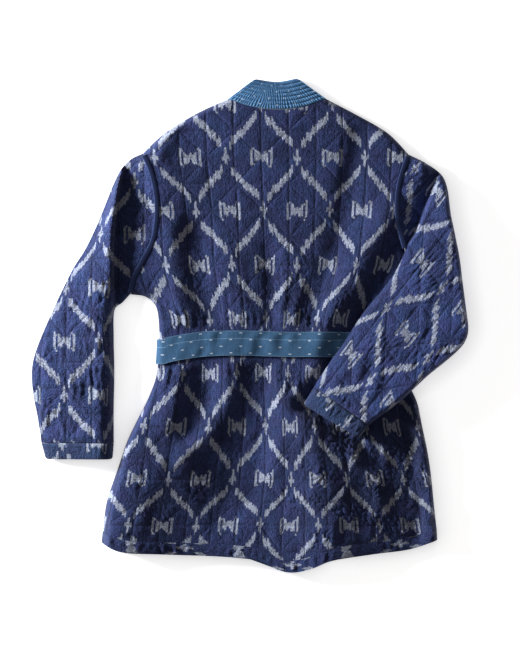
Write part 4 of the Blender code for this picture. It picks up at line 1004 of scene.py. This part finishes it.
LEFT_CUFF_SEAM = drawn((CUFF_LEFT_OUTER[0], CUFF_LEFT_INNER[0]))
RIGHT_CUFF_SEAM = drawn((CUFF_RIGHT_OUTER[0], CUFF_RIGHT_INNER[0]))
STRAIGHT = np.eye(2)
SLANTED = np.array(((0.065, -0.08), (-0.057, -0.073))).T @ np.diag((1 / COLUMN, -1 / ROW))
# The sleeves' cloth is a lighter copy of the back's, and the right one is lighter still: painted light, for the light
# that the raised sleeves catch.
indigo_left_painted_lit = kasuri("indigo_kasuri_left_sleeve_painted_lit", False, (SLEEVE_PITCH, *LEFT_STAR), (0.0072, 0.0112, 0.043),
                     (0.0385, 0.059, 0.185), 0.5)
indigo_right_painted_lit = kasuri("indigo_kasuri_right_sleeve_painted_lit", False, (SLEEVE_PITCH, 0, 0), (0.0074, 0.0114, 0.044),
                      (0.041, 0.063, 0.202), 0.5)


def sleeve(side, outer, inner, armhole, cuff_seam, pleat, slope, heights, folded, weave, star, puff, creases, seed,
           material, creased, rests):
    """One sleeve, quilted from its star outwards, with these ripples in its cloth."""
    outline = join(drawn(outer), cuff_seam, drawn(inner)[::-1], armhole[::-1])
    lines = [drawn(pleat) + (part * PLEAT_DROP / slope, 0) for part in (0, 0.25, 0.5, 0.75, 1)]
    panel = Panel(outline, THREAD_STEP, weave, EDGE_RINGS, lines)
    plain = Panel(outline, PLAIN_STEP, weave, EDGE_RINGS[1:2], lines[::2])
    relief = puffs(panel.cloth - star, SLEEVE_PITCH, puff) + sum(ripples(panel.cloth, *crease) for crease in creases)
    relief = relief * panel.free(0.008) + seam_pucker(panel, cuff_seam, seed)
    piece = cloth_tube(f"sleeve_cloth_{side}", panel, plain, heights, (armhole, cuff_seam), folded, relief, material,
                       creased)
    dress(piece, f"sleeve_{side}", (0.32, 0.46), rests)


sleeve("left", SLEEVE_LEFT_OUTER, SLEEVE_LEFT_INNER, ARM_LEFT, LEFT_CUFF_SEAM, PLEAT_LEFT, LEFT_SLOPE, left_heights,
       LEFT_FOLDED, woven((-0.241, 0.06), STRAIGHT), LEFT_STAR, 0.0018,
       ((51, 0.0004, (0.011, 0.026), 0.6, True), (52, 0.001, (0.03, 0.07), 0.8), (54, 0.0004, (0.008, 0.015), 0.2)),
       53, indigo_left_painted_lit, 1.1, ())
sleeve("right", SLEEVE_RIGHT_OUTER, SLEEVE_RIGHT_INNER, ARM_RIGHT, RIGHT_CUFF_SEAM, PLEAT_RIGHT, RIGHT_SLOPE,
       right_heights, RIGHT_FOLDED, woven((0.274, 0.1), SLANTED), (0, 0), 0.0017,
       ((61, 0.0006, (0.011, 0.026), 0.6, True), (62, 0.0008, (0.03, 0.07), 0.8)),
       63, indigo_right_painted_lit, 1.2, ("back", "belt_back"))

# The cuffs. Bands of the same cloth without quilting, sewn on at the sleeve ends and open at the wrist.
CUFF_STEP = 0.0022
CUFF_PLAIN_STEP = 0.008
CUFF_CORNER = 0.005
indigo_cuff = kasuri("indigo_kasuri_cuff", quilt=None, deep=(0.0066, 0.0115, 0.035), pale=(0.033, 0.056, 0.148))


def rounded(outline, corner):
    """The same outline with one corner rounded off."""
    at = np.argmin(np.linalg.norm(outline - corner, axis=1))
    outline = np.roll(outline, -at, axis=0)
    tip = outline[0]
    ahead, behind = tip + CUFF_CORNER * unit(outline[[1, -1]] - tip)
    t = np.linspace(0, 1, 6)[:, None]
    curve = (1 - t) ** 2 * behind + 2 * t * (1 - t) * tip + t**2 * ahead
    return np.vstack([curve, outline[np.linalg.norm(outline - tip, axis=1) > 1.2 * CUFF_CORNER]])


for side, outer, inner, heights, folded, weave, rests in (
    ("left", CUFF_LEFT_OUTER, CUFF_LEFT_INNER, left_heights, LEFT_FOLDED, woven((-0.244, -0.189), STRAIGHT), ()),
    ("right", CUFF_RIGHT_OUTER, CUFF_RIGHT_INNER, right_heights, RIGHT_FOLDED, woven((0.124, -0.112), SLANTED),
     ("back",)),
):
    far, near = drawn(outer), drawn(inner)
    sewn, mouth = smooth((near[0], far[0])), smooth((far[-1], near[-1]))
    outline = rounded(rounded(join(sewn, far, mouth, near[::-1]), far[-1]), near[-1])
    panel = Panel(outline, CUFF_STEP, weave, EDGE_RINGS)
    plain = Panel(outline, CUFF_PLAIN_STEP, weave, EDGE_RINGS[1:2])
    relief = 0.0016 + ripples(panel.cloth, 71, 0.0006, (0.006, 0.016), 0.3)
    relief = relief * panel.free(0.004) - groove(panel, sewn)
    cuff = cloth_tube(f"cuff_cloth_{side}", panel, plain, heights, (sewn, mouth), folded, relief, indigo_cuff, 0.9)
    dress(cuff, f"cuff_{side}", (0.23, 0.028), rests)

# The bindings. Navy bias tape over both armhole seams, domed across its width, with a row of topstitching.
BINDING_WIDTH = 0.0078
BINDING_RISE = 0.0009
tape = Nodes("navy_bias_tape_cloth")
place, _, up = tape.place()
edge = 1 - tape.under(abs(up - 0.5 * BINDING_WIDTH), 0.5 * BINDING_WIDTH - 0.0009, 0.0004)
colour = tape.blend(tape.noise(place, 500), (0.003, 0.005, 0.018), (0.018, 0.028, 0.085))
navy = tape.finish(tape.blend(edge * 0.6, colour, (0.045, 0.07, 0.18)), 0.9, {"Specular IOR Level": 0.15})
shares = np.linspace(-0.5, 0.5, 11)
dome = BINDING_RISE * (1 - (2 * shares) ** 2) ** 0.5 + 0.0006
for side, seam, heights, shown in (("left", ARM_LEFT, left_heights, 0.25), ("right", ARM_RIGHT, right_heights, 0.17)):
    seam = seam[1:-1]
    square = left_of(unit(np.gradient(seam, axis=0)))
    grid = seam[:, None] + shares[None, :, None] * BINDING_WIDTH * square[:, None]
    spots = grid.reshape(-1, 2)
    seat = np.maximum(back_top(spots), heights(spots)[1]).reshape(grid.shape[:2]).max(1) + 0.0005
    seat = np.convolve(np.pad(seat, 2, mode="edge"), np.full(5, 0.2), "valid")
    seat = np.broadcast_to(seat[:, None], grid.shape[:2])
    binding = strip(f"binding_{side}", np.dstack([grid, seat + dome]), np.dstack([grid, seat]),
                    band_grid(run_along(seam), shares, BINDING_WIDTH), navy)
    dress(binding, f"armhole_binding_{side}", (shown, 0.01), ("back",))

# Floor, light and camera: a bright white sweep with a painted contact shadow, seen from straight above, lit from the
# upper left.
VIEW_WIDTH = 0.832  # across the picture, at the floor
VIEW_CENTRE = (0.016, 0.001)
CAMERA_HEIGHT = 7
SENSOR = 36
WINDOW = (-2.25, 0.75, 0.7)
bpy.ops.mesh.primitive_plane_add(size=60, location=(0, 0, -0.0004))
floor = bpy.context.active_object
floor.name = "floor"
paper = Nodes("white_paper_with_painted_shadow")
# The floor's glow follows ambient occlusion, so it darkens beside the garment: painted shadow round its edges.
painted_shadow_ao = paper.add("ShaderNodeAmbientOcclusion", {"Distance": 0.038}, "AO", samples=8)
glow_with_painted_shadow = {"Emission Color": (1, 1, 1), "Emission Strength": painted_shadow_ao * 0.48 + 0.33}
floor.data.materials.append(paper.finish((0.93, 0.93, 0.93), 0.9, glow_with_painted_shadow))

world = bpy.data.worlds.new("studio")
bpy.context.scene.world = world
world.use_nodes = True
sky = world.node_tree.nodes["Background"].inputs
sky[0].default_value = (1, 0.95, 0.93, 1)
sky[1].default_value = 0.2

light = bpy.data.lights.new("window_light", "AREA")
light.energy = 170
light.size = 0.66
light.color = (0.92, 0.96, 1)
lamp = put("window_light", light)
lamp.location = WINDOW
lamp.rotation_euler = (-Vector(WINDOW)).to_track_quat("-Z", "Y").to_euler()

lens = bpy.data.cameras.new("camera")
lens.sensor_fit = "HORIZONTAL"
lens.sensor_width = SENSOR
lens.lens = SENSOR * CAMERA_HEIGHT / VIEW_WIDTH
camera = put("camera", lens)
camera.location = (*VIEW_CENTRE, CAMERA_HEIGHT + 0.012)
bpy.context.scene.camera = camera
bpy.context.scene.view_settings.view_transform = "Standard"
